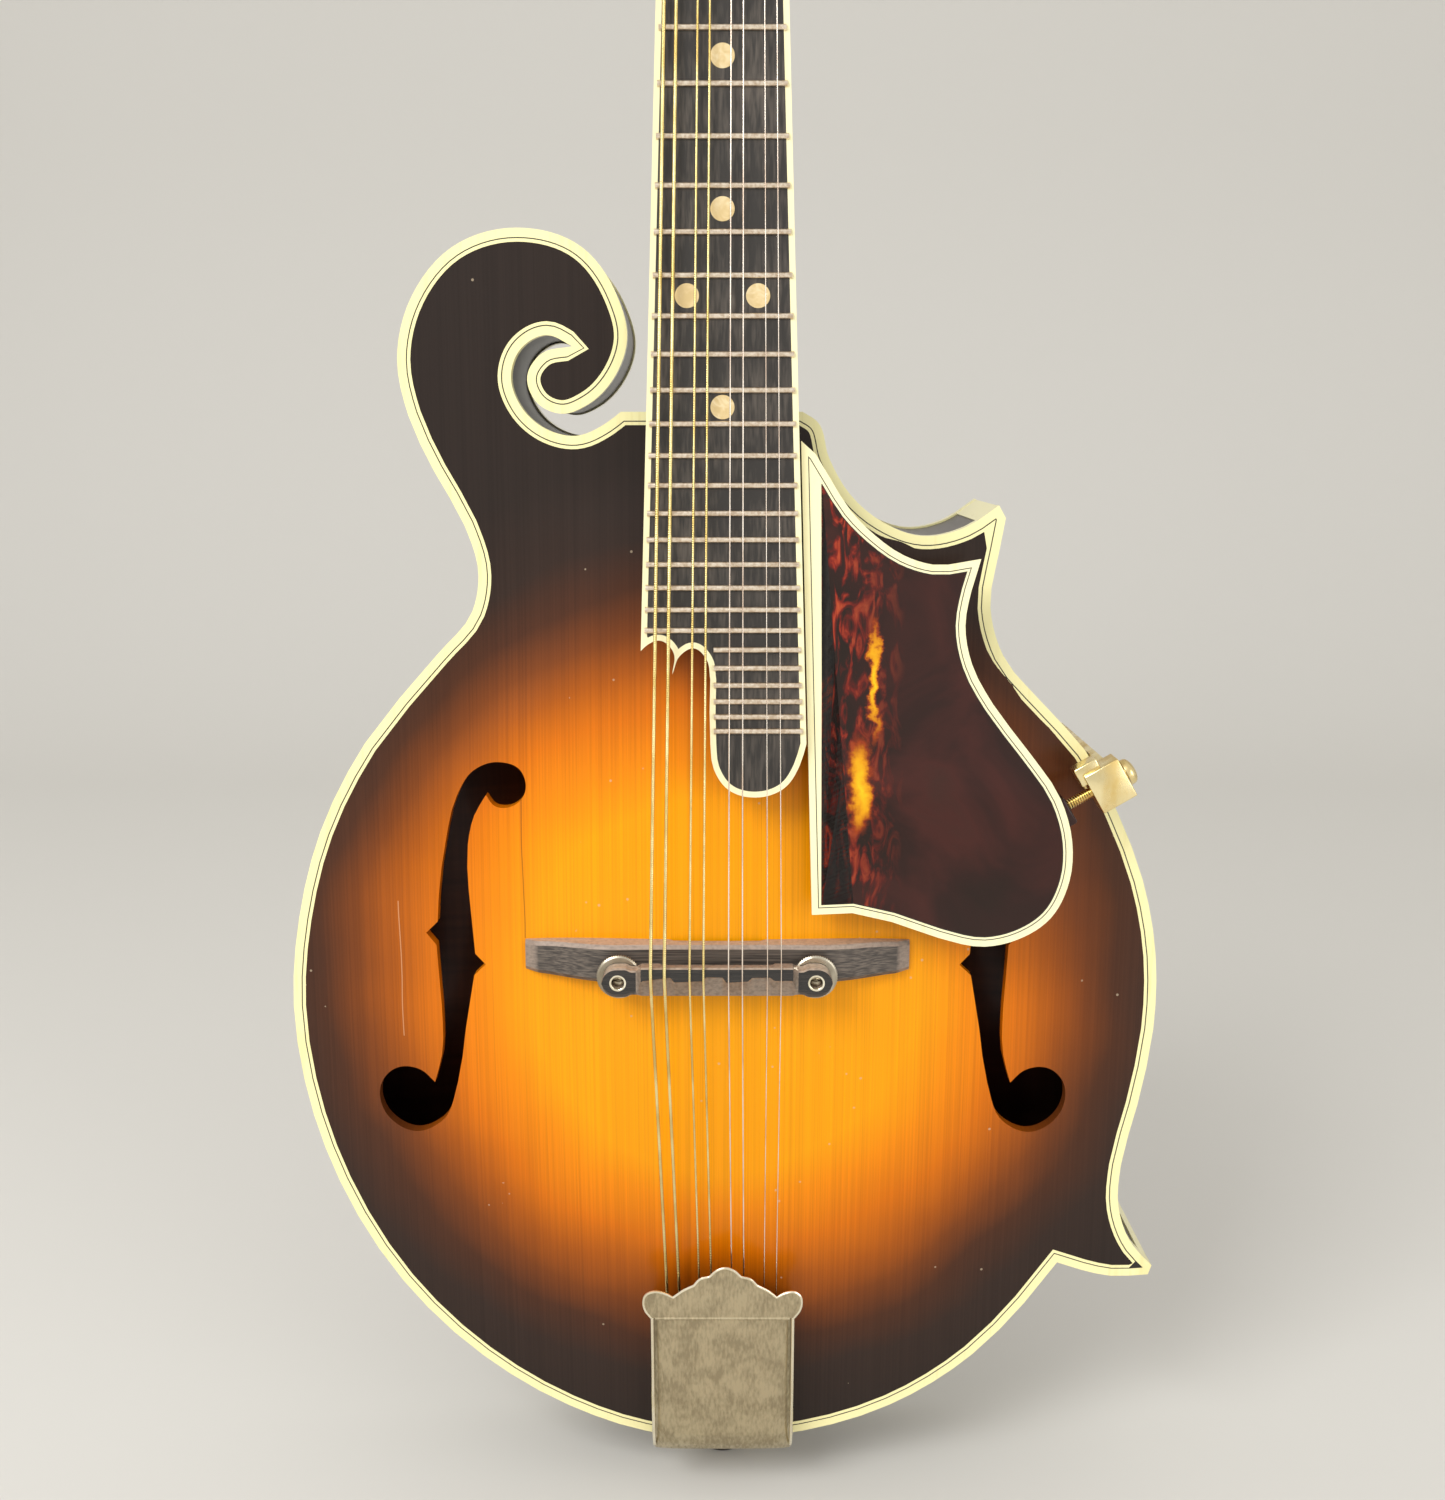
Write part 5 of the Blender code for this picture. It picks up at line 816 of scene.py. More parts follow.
def wire(path, radius, sides=10, matrix=None):
    """A round wire along a path of points."""
    path = [Vector(point) for point in path]
    normal = (path[1] - path[0]).orthogonal().normalized()
    rings = []
    for index, point in enumerate(path):
        along = (path[min(index + 1, len(path) - 1)] - path[max(index - 1, 0)]).normalized()
        normal = (normal - along * normal.dot(along)).normalized()
        other = along.cross(normal)
        rings.append([point + (normal * cos(a) + other * sin(a)) * radius
                      for a in [2 * pi * k / sides for k in range(sides)]])
    return loft(rings, matrix=matrix)


def gather(pieces):
    """Several pieces as one."""
    whole = bmesh.new()
    for piece in pieces:
        mesh = bpy.data.meshes.new("piece")
        piece.to_mesh(mesh)
        piece.free()
        whole.from_mesh(mesh)
        bpy.data.meshes.remove(mesh)
    return whole


def top_height(x, z):
    """Height of the soundboard over the rim at a point."""
    xs, zs, field = TOP_FIELD
    column = (x - xs[0]) / (xs[1] - xs[0])
    row = (z - zs[0]) / (zs[1] - zs[0])
    i, j = int(column), int(row)
    u, v = column - i, row - j
    return (field[i, j] * (1 - u) * (1 - v) + field[i + 1, j] * u * (1 - v)
            + field[i, j + 1] * (1 - u) * v + field[i + 1, j + 1] * u * v)


def ease(value):
    """From 0 to 1 with level ends."""
    value = min(max(value, 0.0), 1.0)
    return value * value * (3 - 2 * value)


# %% [markdown]
# Nickel plate goes dull and a little yellow with sweat, and gold plate brightens at its edges.
# One function makes both metals: slow patches of tarnish and fine scratches in one
# direction.

# %% Materials: plated metal
def plated(name, slot, dull, bright, rough, brushed=(160, 160, 30), bump=0.05):
    """Plated metal with tarnish patches and brushed scratches."""
    made, tree, shader = new_material(name, slot, bright, Metallic=1.0, Roughness=rough)
    place = add(tree, "TexCoord").outputs["Object"]
    patches = add(tree, "TexNoise", {"Vector": place, "Scale": 130.0, "Detail": 4.0}).outputs["Fac"]
    lines = add(tree, "Mapping", {"Vector": place, "Scale": brushed}).outputs["Vector"]
    smudge = add(tree, "TexNoise", {"Vector": lines, "Scale": 1.0, "Detail": 4.0}).outputs["Fac"]
    both = add(tree, "Math", {0: patches, 1: smudge}, operation="ADD").outputs["Value"]
    tone = add(tree, "ValToRGB", {"Fac": add(tree, "MapRange", {
        "Value": both, "From Min": 0.75, "From Max": 1.3}).outputs["Result"]},
               stops=[(0.1, dull), (0.8, bright)])
    tree.links.new(tone.outputs["Color"], shader.inputs["Base Color"])
    gloss = add(tree, "MapRange", {"Value": both, "From Min": 0.8, "From Max": 1.2,
                                   "To Min": rough * 1.35, "To Max": rough * 0.7})
    tree.links.new(gloss.outputs["Result"], shader.inputs["Roughness"])
    relief = add(tree, "Bump", {"Height": smudge, "Strength": bump, "Distance": 0.0002})
    tree.links.new(relief.outputs["Normal"], shader.inputs["Normal"])
    return made


nickel = plated("aged_nickel_plate", "aged_nickel", "#a09682", "#cfc7b4", 0.34)
nickel_sheet = plated("dulled_nickel_sheet", "aged_nickel", "#a5987c", "#c7ba9a", 0.44,
                      brushed=(1300, 200, 420), bump=0.25)
bright_nickel = plated("rubbed_nickel_edge", "aged_nickel", "#e9e0c4", "#fdf6e0", 0.22)
gold = plated("brushed_gold_plate", "gold_plate", "#e0c27a", "#f7e7b4", 0.26)
print("four plated finishes")

# %% [markdown]
# The bridge foot is ebony, fitted to the arch so that it stands on its whole length except for
# a relief in the middle. Its wings thin towards chamfered ends. Handling wears its upper edge
# to a pale dusty brown, which follows the direction that each face looks in. On the saddle the
# same pale colour is also put on faces that look towards the tail, as a painted highlight.

# %% Bridge foot
def ebony_with_dust_and_painted_highlight(name, dark, pale, dust_and_highlight, gloss, tail_facet_highlight=0.0):
    """Ebony, pale towards the nut and on end facets, with a painted highlight on tail-facing faces."""
    made, tree, shader = new_material(name, "ebony", dark, Roughness=gloss, Coat_Weight=0.2)
    coords = add(tree, "TexCoord")
    lines = add(tree, "Mapping", {"Vector": coords.outputs["Object"], "Scale": (70, 1100, 2600)})
    pores = add(tree, "TexNoise", {"Vector": lines.outputs["Vector"], "Scale": 1.0, "Detail": 3.0})
    tone = add(tree, "ValToRGB", {"Fac": pores.outputs["Fac"]}, stops=[(0.38, dark), (0.66, pale)])
    facing = add(tree, "SeparateXYZ", {"Vector": coords.outputs["Normal"]})
    grit = add(tree, "TexNoise", {"Vector": coords.outputs["Object"], "Scale": 900.0, "Detail": 2.0})
    upper = add(tree, "MapRange", {"Value": facing.outputs["Z"], "From Min": 0.25,
                                   "From Max": 0.8}).outputs["Result"]
    side = add(tree, "Math", {0: facing.outputs["X"]}, operation="ABSOLUTE").outputs["Value"]
    end = add(tree, "MapRange", {"Value": side, "From Min": 0.35, "From Max": 0.6,
                                 "To Max": 0.55}).outputs["Result"]
    share = add(tree, "Math", {0: upper, 1: end}, operation="MAXIMUM").outputs["Value"]
    speckled = add(tree, "MapRange", {"Value": grit.outputs["Fac"], "From Min": 0.3, "From Max": 0.6,
                                      "To Min": 0.65, "To Max": 1.0}).outputs["Result"]
    # Painted highlight: faces that look towards the tail are mixed towards the pale colour, for the
    # saddle's lit sloping facets.
    painted_highlight_tail_facets = add(tree, "MapRange", {"Value": facing.outputs["Z"], "From Min": -0.15, "From Max": -0.45,
                                       "To Max": tail_facet_highlight}).outputs["Result"]
    share = add(tree, "Math", {0: share, 1: painted_highlight_tail_facets}, operation="MAXIMUM").outputs["Value"]
    amount = add(tree, "Math", {0: share, 1: speckled}, operation="MULTIPLY").outputs["Value"]
    mixed = add(tree, "Mix", {"Factor": amount, 6: tone.outputs["Color"], 7: linear(dust_and_highlight)},
                data_type="RGBA")
    tree.links.new(mixed.outputs[2], shader.inputs["Base Color"])
    relief = add(tree, "Bump", {"Height": pores.outputs["Fac"], "Strength": 0.3, "Distance": 0.0001})
    tree.links.new(relief.outputs["Normal"], shader.inputs["Normal"])
    return made


foot_ebony = ebony_with_dust_and_painted_highlight("dusty_ebony_foot", "#37302b", "#6b6056", "#b9a595", 0.5)
# The saddle's sloping facets that look towards the tail get a painted highlight.
saddle_ebony = ebony_with_dust_and_painted_highlight("ebony_saddle_dust_and_painted_highlight", "#171412", "#2e2925", "#b7a28e", 0.22,
                          tail_facet_highlight=0.6)

wheel_low, wheel_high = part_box("thumbwheel_bass")
WHEEL_Z = (wheel_low.z + wheel_high.z) / 2
WHEEL_R = (wheel_high.z - wheel_low.z) / 2
FOOT_FACE = wheel_high.y + GAP + 0.0015
FOOT_HALF, FOOT_DEPTH = 0.055, 0.0112
RELIEF_HALF, RELIEF_DEEP = 0.0135, 0.0012
WING_THICK, TIP_THICK = 0.0034, 0.0012
CHAMFER_TALL, CHAMFER_WIDE = 0.0009, 0.0011
HALF_STEPS = 40
foot_z = BRIDGE_Z - FOOT_SETBACK
stations = []
for step in range(2 * HALF_STEPS + 1):
    x = FOOT_HALF * (step / HALF_STEPS - 1)
    reach = abs(x) / FOOT_HALF
    flank = FOOT_DEPTH / 2 * (1 - 0.22 * reach ** 4)
    seats = [RIM_Y - top_height(BRIDGE_X + x, foot_z + z) for z in (-flank, flank)]
    seats = [seat - RELIEF_DEEP * ease((RELIEF_HALF - abs(x)) / MM) for seat in seats]
    wing = ease((reach - 0.5) / 0.42)
    face = FOOT_FACE + (min(seats) - WING_THICK - FOOT_FACE) * wing
    face += (min(seats) - TIP_THICK - face) * max(0.0, (reach - 0.93) / 0.07)
    rim, inner = min(face + CHAMFER_TALL, min(seats) - 0.0004), flank - CHAMFER_WIDE
    stations.append([(BRIDGE_X + x, seats[0], foot_z - flank), (BRIDGE_X + x, seats[1], foot_z + flank),
                     (BRIDGE_X + x, rim, foot_z + flank), (BRIDGE_X + x, face, foot_z + inner),
                     (BRIDGE_X + x, face, foot_z - inner), (BRIDGE_X + x, rim, foot_z - flank)])
show(add_object("bridge_foot", loft(stations), sharp=24), foot_ebony, stands_for=["bridge_base"])
print("bridge foot:", len(stations), "sections")

# %% [markdown]
# The saddle hangs over two posts. Its lugs are low and round, and the crest between them is
# cut back in steps so that each pair of strings sounds in tune, which leaves small facets.

# %% Saddle
SADDLE_FLOOR = wheel_low.y - GAP
SADDLE_HALF, SADDLE_DEPTH, SADDLE_TALL = 0.032, 0.0084, 0.0071
LUG_TALL, LUG_END, NECKING = 0.0046, 0.70, 0.0007
ARCH_DEEP, CREST_LEAN, CREST_THICK = 0.0012, 0.0010, 0.0034
EASED = 0.0004
CREST_STEPS = ((-0.67, 0.6), (-0.40, -0.9), (-0.37, 0.9), (-0.12, 0.4), (-0.10, -1.0), (0.05, -0.9),
               (0.08, 1.0), (0.27, 0.5), (0.30, -0.8), (0.46, -0.9), (0.49, 0.3), (0.66, 0.3))
steps_at, steps_by = zip(*CREST_STEPS)
rings = []
for step in range(129):
    share = step / 64 - 1
    x = SADDLE_HALF * share
    bulge = max(0.0, abs(x) - (SADDLE_HALF - SADDLE_DEPTH / 2))
    half = max(sqrt(max((SADDLE_DEPTH / 2) ** 2 - bulge ** 2, 0.0)), EASED)
    crest = ease((LUG_END - abs(share)) / 0.05)
    tall = LUG_TALL + (SADDLE_TALL - LUG_TALL) * crest
    notch = NECKING * (1 - crest) * ease((0.80 - abs(share)) / 0.06)
    cut_back = float(np.interp(share, steps_at, steps_by)) * MM
    arch_floor = SADDLE_FLOOR - (ARCH_DEEP if abs(share) < 0.5 else 0.0)
    front = WHEEL_Z + half - notch + CREST_LEAN * crest
    back = WHEEL_Z - half + notch
    brow = front - (CREST_THICK + cut_back * 0.8) * crest - (1 - crest) * 2 * (half - notch) * 0.88
    top, knee = SADDLE_FLOOR - tall, SADDLE_FLOOR - 0.0030 - 0.0010 * (1 - crest)
    x += BRIDGE_X
    rings.append([(x, arch_floor, back), (x, arch_floor, front - CREST_LEAN * crest),
                  (x, knee, front - EASED * crest), (x, top + EASED, front), (x, top, front - EASED),
                  (x, top, brow), (x, top + EASED, brow - EASED * crest), (x, knee, back)])
saddle = add_object("saddle", loft(rings), sharp=28)
print("saddle:", len(rings), "sections,", len(CREST_STEPS), "points in the crest's steps")

# %% [markdown]
# A knurled wheel runs on each post and carries the saddle, so that turning both sets the
# height of the strings. The posts are screwed into the foot. Their thread is cut as plain
# grooves, because half a millimetre of helix and half a millimetre of rings look the same.

# %% Posts and thumbwheels
TEETH, TOOTH_DEEP, WHEEL_BORE = 56, 0.00026, 0.0020
POST, POST_ROOT, POST_PITCH, POST_SUNK = 0.00185, 0.0016, 0.0005, 0.0022
POST_HOLE, FAR = 0.0019, 0.1
SLOT_HALF, SLOT_DEEP = 0.00025, 0.0006


def wheel_rings(thick, back):
    """Rings of a knurled wheel, round its bore from the back face to the front face."""
    tooth = [WHEEL_R - (TOOTH_DEEP if k % 2 else 0.0) for k in range(2 * TEETH)]
    spokes = [(cos(pi * k / TEETH), sin(pi * k / TEETH)) for k in range(2 * TEETH)]
    sections = [(WHEEL_BORE, 0.0), (WHEEL_R - 0.0011, 0.0), (WHEEL_R - 0.0009, 0.00012),
                (None, 0.0003), (None, thick - 0.0003), (WHEEL_R - 0.0006, thick), (WHEEL_BORE, thick)]
    return [[((radius or tooth[k]) * spokes[k][0], (radius or tooth[k]) * spokes[k][1], height - back)
             for k in range(2 * TEETH)] for radius, height in sections]


def post_profile(start, top):
    """A grooved stem from its foot to its chamfered top."""
    stem = [(0, start), (POST, start)]
    for number in range(int((top - start - SLOT_DEEP) / POST_PITCH)):
        crest = start + POST_PITCH * number
        stem += [(POST, crest), (POST_ROOT, crest + POST_PITCH / 2)]
    return stem + [(0.0017, top - 0.0003), (0.0012, top), (0, top)]


lug_top = LUG_TALL - SADDLE_FLOOR
post_top = lug_top - POST_SUNK
ring_profile = [(0.0018, lug_top - 0.001), (0.0018, lug_top + 0.00004), (0.0019, lug_top + 0.00012),
                (0.0023, lug_top + 0.00012), (0.0024, lug_top - 0.0001)]
for name in ("bass", "treble"):
    low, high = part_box(f"thumbwheel_{name}")
    axis = Matrix.Translation(((low.x + high.x) / 2, 0, WHEEL_Z)) @ Matrix.Rotation(pi / 2, 4, "X")
    cut(saddle, "DIFFERENCE", lathe([(0, -0.03), (POST_HOLE, -0.03), (POST_HOLE, FAR), (0, FAR)], 24, axis))
    disc = loft(wheel_rings(high.y - low.y, high.y), closed=True, matrix=axis)
    show(add_object(f"knurled_wheel_{name}", disc, sharp=30), nickel,
         body=f"thumbwheel_{name}", stands_for=[f"thumbwheel_{name}"])
    stem = post_profile(-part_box(f"bridge_post_{name}")[1].y, post_top)
    post = add_object(f"threaded_post_{name}", lathe(stem, 24, axis), sharp=40)
    cut(post, "DIFFERENCE", block((-0.003, -SLOT_HALF, post_top - SLOT_DEEP), (0.003, SLOT_HALF, FAR),
                                  matrix=axis))
    show(post, nickel, stands_for=[f"bridge_post_{name}"])
    show(add_object(f"post_hole_ring_{name}", lathe(ring_profile, 32, axis), sharp=40), bright_nickel,
         body="bridge_saddle")
# The saddle's material paints a pale highlight on its tail-facing facets.
show(saddle, saddle_ebony, body="bridge_saddle", stands_for=["bridge_saddle"], sharp=28)
print(f"two posts, their tops {POST_SUNK * 1000:.1f} mm below the saddle's lugs")
# %% [markdown]
# The tailpiece cover is a folded nickel channel that slides over a base plate screwed to the
# tail. Its head is one flat sheet sawn into a cloud of scallops. The sawn edges are rubbed
# bright, and a crease marks where the flat head meets the rounded channel.

# %% Tailpiece cover
COVER_HALF = 0.0212
COVER_LINE = ((-1.0, 4.0), (1.0, 6.6), (4.5, 9.5), (9.0, 11.7), (24.0, 14.6), (44.0, 16.4), (53.0, 17.2))
CLOUD = (
    (-21.2, 51.5, True), (-22.9, 54, False), (-23.4, 56.6, False), (-22.8, 58.9, False),
    (-20.6, 60.1, False), (-17.2, 59.6, False), (-14.6, 58.2, True), (-11.8, 60.4, False),
    (-8.4, 62.2, True), (-6.6, 64.3, False), (-3.8, 65.1, True), (-1.6, 67.2, False),
    (0.8, 68.0, False), (3.2, 67.2, False), (5.4, 65.1, True), (8.2, 64.3, False),
    (10.2, 62.2, True), (13.4, 60.4, False), (16.0, 58.2, True), (18.4, 59.6, False),
    (21.4, 60.0, False), (23.0, 58.7, False), (23.4, 56.6, False), (22.9, 54, False),
    (21.2, 51.5, True),
)
SHEET = 0.0009
BASE_LOW, BASE_FLAT, BASE_RISE = 0.0022, 0.008, 0.135
HEAD_HEIGHT, HEAD_LEAN, HEAD_FROM = 0.017, 0.063, 0.049
SQUARENESS = 0.42
COLUMNS, LENGTH_STEPS = 48, 55
line_z, line_height = zip(*COVER_LINE)


def base_line(z):
    """Height over the rim of the tailpiece base, which rises towards the bridge."""
    return BASE_LOW + max(0.0, z - PIN_REACH - BASE_FLAT) * BASE_RISE


def cloud_y(z):
    """Front face of the flat head, which leans by four degrees."""
    return RIM_Y - HEAD_HEIGHT - HEAD_LEAN * (z - PIN_REACH - HEAD_FROM)


def cover_height(beyond):
    """Height of the channel over the rim, so many millimetres from the tail's face."""
    return float(np.interp(beyond, line_z, line_height)) * MM


sheet = bmesh.new()
rows = []
for beyond in range(-1, LENGTH_STEPS - 1):
    z = PIN_REACH + beyond * MM
    height = cover_height(beyond)
    skirt = base_line(z) - 0.0006
    row = []
    for turn in range(COLUMNS + 1):
        angle = pi * turn / COLUMNS
        x = COVER_HALF * abs(cos(angle)) ** SQUARENESS * (1 if cos(angle) >= 0 else -1)
        rise = skirt + (height - skirt) * abs(sin(angle)) ** SQUARENESS
        row.append(sheet.verts.new((x, RIM_Y - rise, z)))
    rows.append(row)
for first, second in zip(rows, rows[1:]):
    for index in range(COLUMNS):
        sheet.faces.new((first[index], first[index + 1], second[index + 1], second[index]))
bmesh.ops.recalc_face_normals(sheet, faces=sheet.faces[:])
channel = add_object("cover_channel", sheet, sharp=60)
wall = channel.modifiers.new("sheet", "SOLIDIFY")
wall.thickness = SHEET
wall.offset = -1.0
settle(channel)
cloud = [Vector((p.x * MM, PIN_REACH + p.y * MM)) for p in smooth_path(CLOUD, closed=False)]
head = slab([cloud], 0.0, SHEET)
for vert in head.verts:
    vert.co.y += cloud_y(vert.co.z)
show(channel, nickel_sheet, body="tailpiece_cover", stands_for=["tailpiece_cover"])
show(add_object("cover_cloud_head", head), nickel_sheet, body="tailpiece_cover")
sawn = [Vector((p.x, cloud_y(p.y) + 0.0003, p.y)) for p in cloud]
edges = [wire(sawn, 0.00042, 8)]
for side in (-1, 1):
    shoulder = [(side * (COVER_HALF - 0.0002), RIM_Y - cover_height(beyond) + 0.0016,
                 PIN_REACH + beyond * MM) for beyond in (2, 5, 9, 16, 24, 34, 44, 51.5)]
    edges.append(wire(shoulder, 0.0005, 8))
show(add_object("cover_rubbed_edges", gather(edges)), bright_nickel, body="tailpiece_cover")
crease_z = PIN_REACH + 0.0512
crease = [(x * MM, cloud_y(crease_z) + 0.0004, crease_z) for x in (-20, -10, 0, 10, 20)]
show(add_object("cover_crease", wire(crease, 0.0006, 12)), nickel_sheet, body="tailpiece_cover")
print(f"tailpiece cover {2 * COVER_HALF * 1000:.1f} mm wide, its head {len(cloud)} points round")

# %% [markdown]
# Three domed screws hold the base plate to the tail. The end pin is one turned piece of ebony:
# a collar against the plate, a waist for the strap and a rounded button with a ring cut in it.

# %% Screws and end pin

def screw_head(radius, tall, matrix):
    """A domed screw head with a straight slot, its height along the matrix's z."""
    dome = [(0, -0.002), (radius * 0.5, -0.002), (radius * 0.5, 0), (radius, 0)]
    dome += [(radius * cos(a), tall * (0.35 + 0.65 * sin(a))) for a in [pi / 2 * k / 6 for k in range(7)]]
    made = add_object("screw", lathe(dome, 24, matrix), sharp=40)
    cut(made, "DIFFERENCE", block((-0.01, -0.0004, tall * 0.55), (0.01, 0.0004, 0.01), matrix=matrix))
    piece = bmesh.new()
    piece.from_mesh(made.data)
    bpy.data.objects.remove(made)
    return piece


BASE_SHEET = 0.0012
TAIL_FACE = Matrix.Translation((0, 0, PIN_REACH - GAP - BASE_SHEET)) @ Matrix.Rotation(pi, 4, "X")
show(add_object("tailpiece_screws", gather(
    [screw_head(0.0026, 0.0012, TAIL_FACE @ Matrix.Translation((x, -y, 0)))
     for x, y in ((-0.014, 0.004), (0.014, 0.004), (0.0, 0.0125))])), nickel)
COLLAR, COLLAR_BACK, WAIST, BUTTON_ROUND = 0.0062, PIN_REACH - 0.0035, 0.0046, 0.0016
quarter = [pi / 2 * k / 8 for k in range(9)]
pin_profile = [(0, PIN_REACH - 0.0018), (0.0055, PIN_REACH - 0.0018), (COLLAR, PIN_REACH - 0.0022),
               (COLLAR, COLLAR_BACK)]
pin_profile += [(WAIST + (COLLAR - WAIST) * (1 - ease(k / 8)), COLLAR_BACK - 0.003 * k / 8)
                for k in range(1, 9)]
pin_profile += [(WAIST + 0.0028 * ease(k / 10), 0.0092 - 0.0062 * k / 10) for k in range(1, 11)]
pin_profile += [(0.0060 + 0.0014 * cos(a), BUTTON_ROUND * (1 - sin(a))) for a in quarter]
pin_profile += [(0.0058, 0.0), (0.0052, 0.0003), (0.0046, 0.0), (0, 0.0)]
show(add_object("turned_end_pin", lathe(pin_profile, 40), sharp=40), board_ebony, stands_for=["end_pin"])
print("three screws and the end pin")

# %% [markdown]
# The two lower pairs are steel cores wound with bronze, and the upper pairs are plain steel.
# The windings are drawn 0.6 mm apart, twice as coarse as real wire, so that they stay visible.
# Each string runs from its hook over the saddle and nut to its own post, and wraps round it.

# %% Materials: string wire
def string_metal(name, slot, low, high, pitch=None):
    """Bright wire, ringed when it is wound."""
    made, tree, shader = new_material(name, slot, high, Metallic=1.0, Roughness=0.25)
    place = add(tree, "TexCoord").outputs["Object"]
    dirt = add(tree, "TexNoise", {"Vector": place, "Scale": 70.0, "Detail": 3.0}).outputs["Fac"]
    tone = add(tree, "ValToRGB", {"Fac": dirt}, stops=[(0.35, low), (0.6, high)])
    tree.links.new(tone.outputs["Color"], shader.inputs["Base Color"])
    if pitch:
        along = add(tree, "SeparateXYZ", {"Vector": place}).outputs["Z"]
        turns = add(tree, "Math", {0: along, 1: 2 * pi / pitch}, operation="MULTIPLY").outputs["Value"]
        rings = add(tree, "Math", {0: turns}, operation="SINE").outputs["Value"]
        relief = add(tree, "Bump", {"Height": rings, "Strength": 0.35, "Distance": 0.0001})
        tree.links.new(relief.outputs["Normal"], shader.inputs["Normal"])
    return made


bronze = string_metal("bronze_winding", "bronze_string", "#d9bd73", "#f6e7a6", 0.0006)
plain_wire = string_metal("plain_steel_wire", "steel_string", "#dcc6b2", "#fbf0e2")

# %% Strings
RADII = (0.00050, 0.00050, 0.00033, 0.00033, 0.00020, 0.00020, 0.00014, 0.00014)
NAMES = ("g_1", "g_2", "d_1", "d_2", "a_1", "a_2", "e_1", "e_2")
TUNER_ROW, TUNER_FIRST, TUNER_SPACING = 0.016, 0.034, 0.023
POST_WAIST = 0.0022
CREST_Y = RIM_Y - 0.0312
HOOK_Z = PIN_REACH + 0.040
THIN_WIRE, LOOP = 0.00016, 0.0016
NUT_SLOT, NUT_LONG = 0.0013, 0.0045
WRAP_STEPS = 44


def string_xs(course, pair, centre=0.0):
    """Places of four pairs across the instrument, by the step between pairs and within one."""
    return [centre + course * (n // 2 - 1.5) + pair * (n % 2 - 0.5) for n in range(8)]


places = zip(NAMES, RADII, string_xs(0.0095, 0.0036), string_xs(0.0107, 0.0038, BRIDGE_X - 0.0003),
             string_xs(0.00785, 0.0029), (0, 1, 2, 3, 7, 6, 5, 4))
circle = [2 * pi * k / 16 for k in range(17)]
for name, radius, tail_x, bridge_x, nut_x, tuner in places:
    side, row, number = (-1, "bass", tuner) if tuner < 4 else (1, "treble", tuner - 4)
    along = TUNER_FIRST + number * TUNER_SPACING
    reach = POST_WAIST + radius
    wrap_y = -(0.0052 + 0.0002 * (NAMES.index(name) % 2))
    foot = Vector((tail_x, RIM_Y - base_line(HOOK_Z) - 0.0014, HOOK_Z - 0.0005))
    over = CREST_Y - GAP - radius
    path = [foot, Vector((bridge_x, over + 0.0002, BRIDGE_Z - 0.0022)),
            Vector((bridge_x, over, BRIDGE_Z - 0.0010)), Vector((bridge_x, over, BRIDGE_Z + 0.0006)),
            NECK @ Vector((nut_x, -NUT_SLOT - radius, SCALE_LENGTH)),
            NECK @ Vector((nut_x, -NUT_SLOT - radius, SCALE_LENGTH + NUT_LONG)),
            HEAD @ Vector((side * TUNER_ROW - side * (reach + GAP), wrap_y, along))]
    finish = bronze if radius > 0.0003 else plain_wire
    loop = [foot + Vector((0.0013 * sin(a), 0.0002, -LOOP + LOOP * cos(a))) for a in circle]
    coil = radius * 1.3 + 0.0001
    twist = [foot + Vector((coil * cos(k), coil * sin(k), 0.00035 * k)) for k in range(24)]
    show(add_object(f"string_{name}_wire", gather(
        [wire(path, radius, 12), wire(loop, THIN_WIRE, 6), wire(twist, THIN_WIRE, 6)])), finish,
         stands_for=[f"string_{name}"])
    climb = 2.1 * radius / (2 * pi)
    wraps = [HEAD @ Vector((side * TUNER_ROW - side * reach * cos(a), wrap_y + a * climb,
                            along + reach * sin(a))) for a in [pi / 8 * k for k in range(WRAP_STEPS)]]
    show(add_object(f"string_{name}_wraps", wire(wraps, radius, 6)), finish,
         body=f"tuner_post_{row}_{number + 1}")
print("eight strings")

# %% [markdown]
# The guard's outer end rests on a small gold-plated clamp that grips the rim. Its head is
# drilled for a threaded rod, whose domed slotted head is turned from outside, and the rod
# screws into a celluloid lug under the guard.

# %% Clamp, screw and lug
CLAMP_NEAR = Vector((0.107, BRIDGE_Z + 0.0515))
grip_point = min(body_path, key=lambda p: (p - CLAMP_NEAR).length)
grip_at = body_path.index(grip_point)
run = (body_path[grip_at + 1] - body_path[grip_at - 1]).normalized()
outward = Vector((-run.y, run.x))
turned_out = Matrix.Rotation(-atan2(outward.y, outward.x), 4, "Y")
CLAMP = Matrix.Translation((grip_point.x, 0, grip_point.y)) @ turned_out
screw_low, screw_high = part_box("pickguard_screw")
rod_y = (screw_low.y + screw_high.y) / 2
clamp_blocks = (
    ((0.0002, rod_y - 0.0040, -0.005), (0.0024, BACK_RIM_Y + 0.0025, 0.005)),
    ((-0.006, rod_y - 0.0045, -0.006), (0.0045, rod_y + 0.0035, 0.006)),
    ((-0.0075, rod_y - 0.0025, 0.0030), (-0.0005, rod_y + 0.0030, 0.0085)),
    ((-0.006, RIM_Y - 0.0025, -0.004), (0.001, RIM_Y - 0.0001, 0.004)),
    ((-0.005, rod_y, -0.0045), (0.001, RIM_Y - 0.001, 0.0045)),
    ((-0.0045, BACK_RIM_Y + 0.0003, -0.004), (0.001, BACK_RIM_Y + 0.0025, 0.004)),
)
clamp = add_object("gold_clamp", gather([block(low, high, 0.0004, CLAMP) for low, high in clamp_blocks]))
show(clamp, gold, stands_for=["pickguard_clamp"])
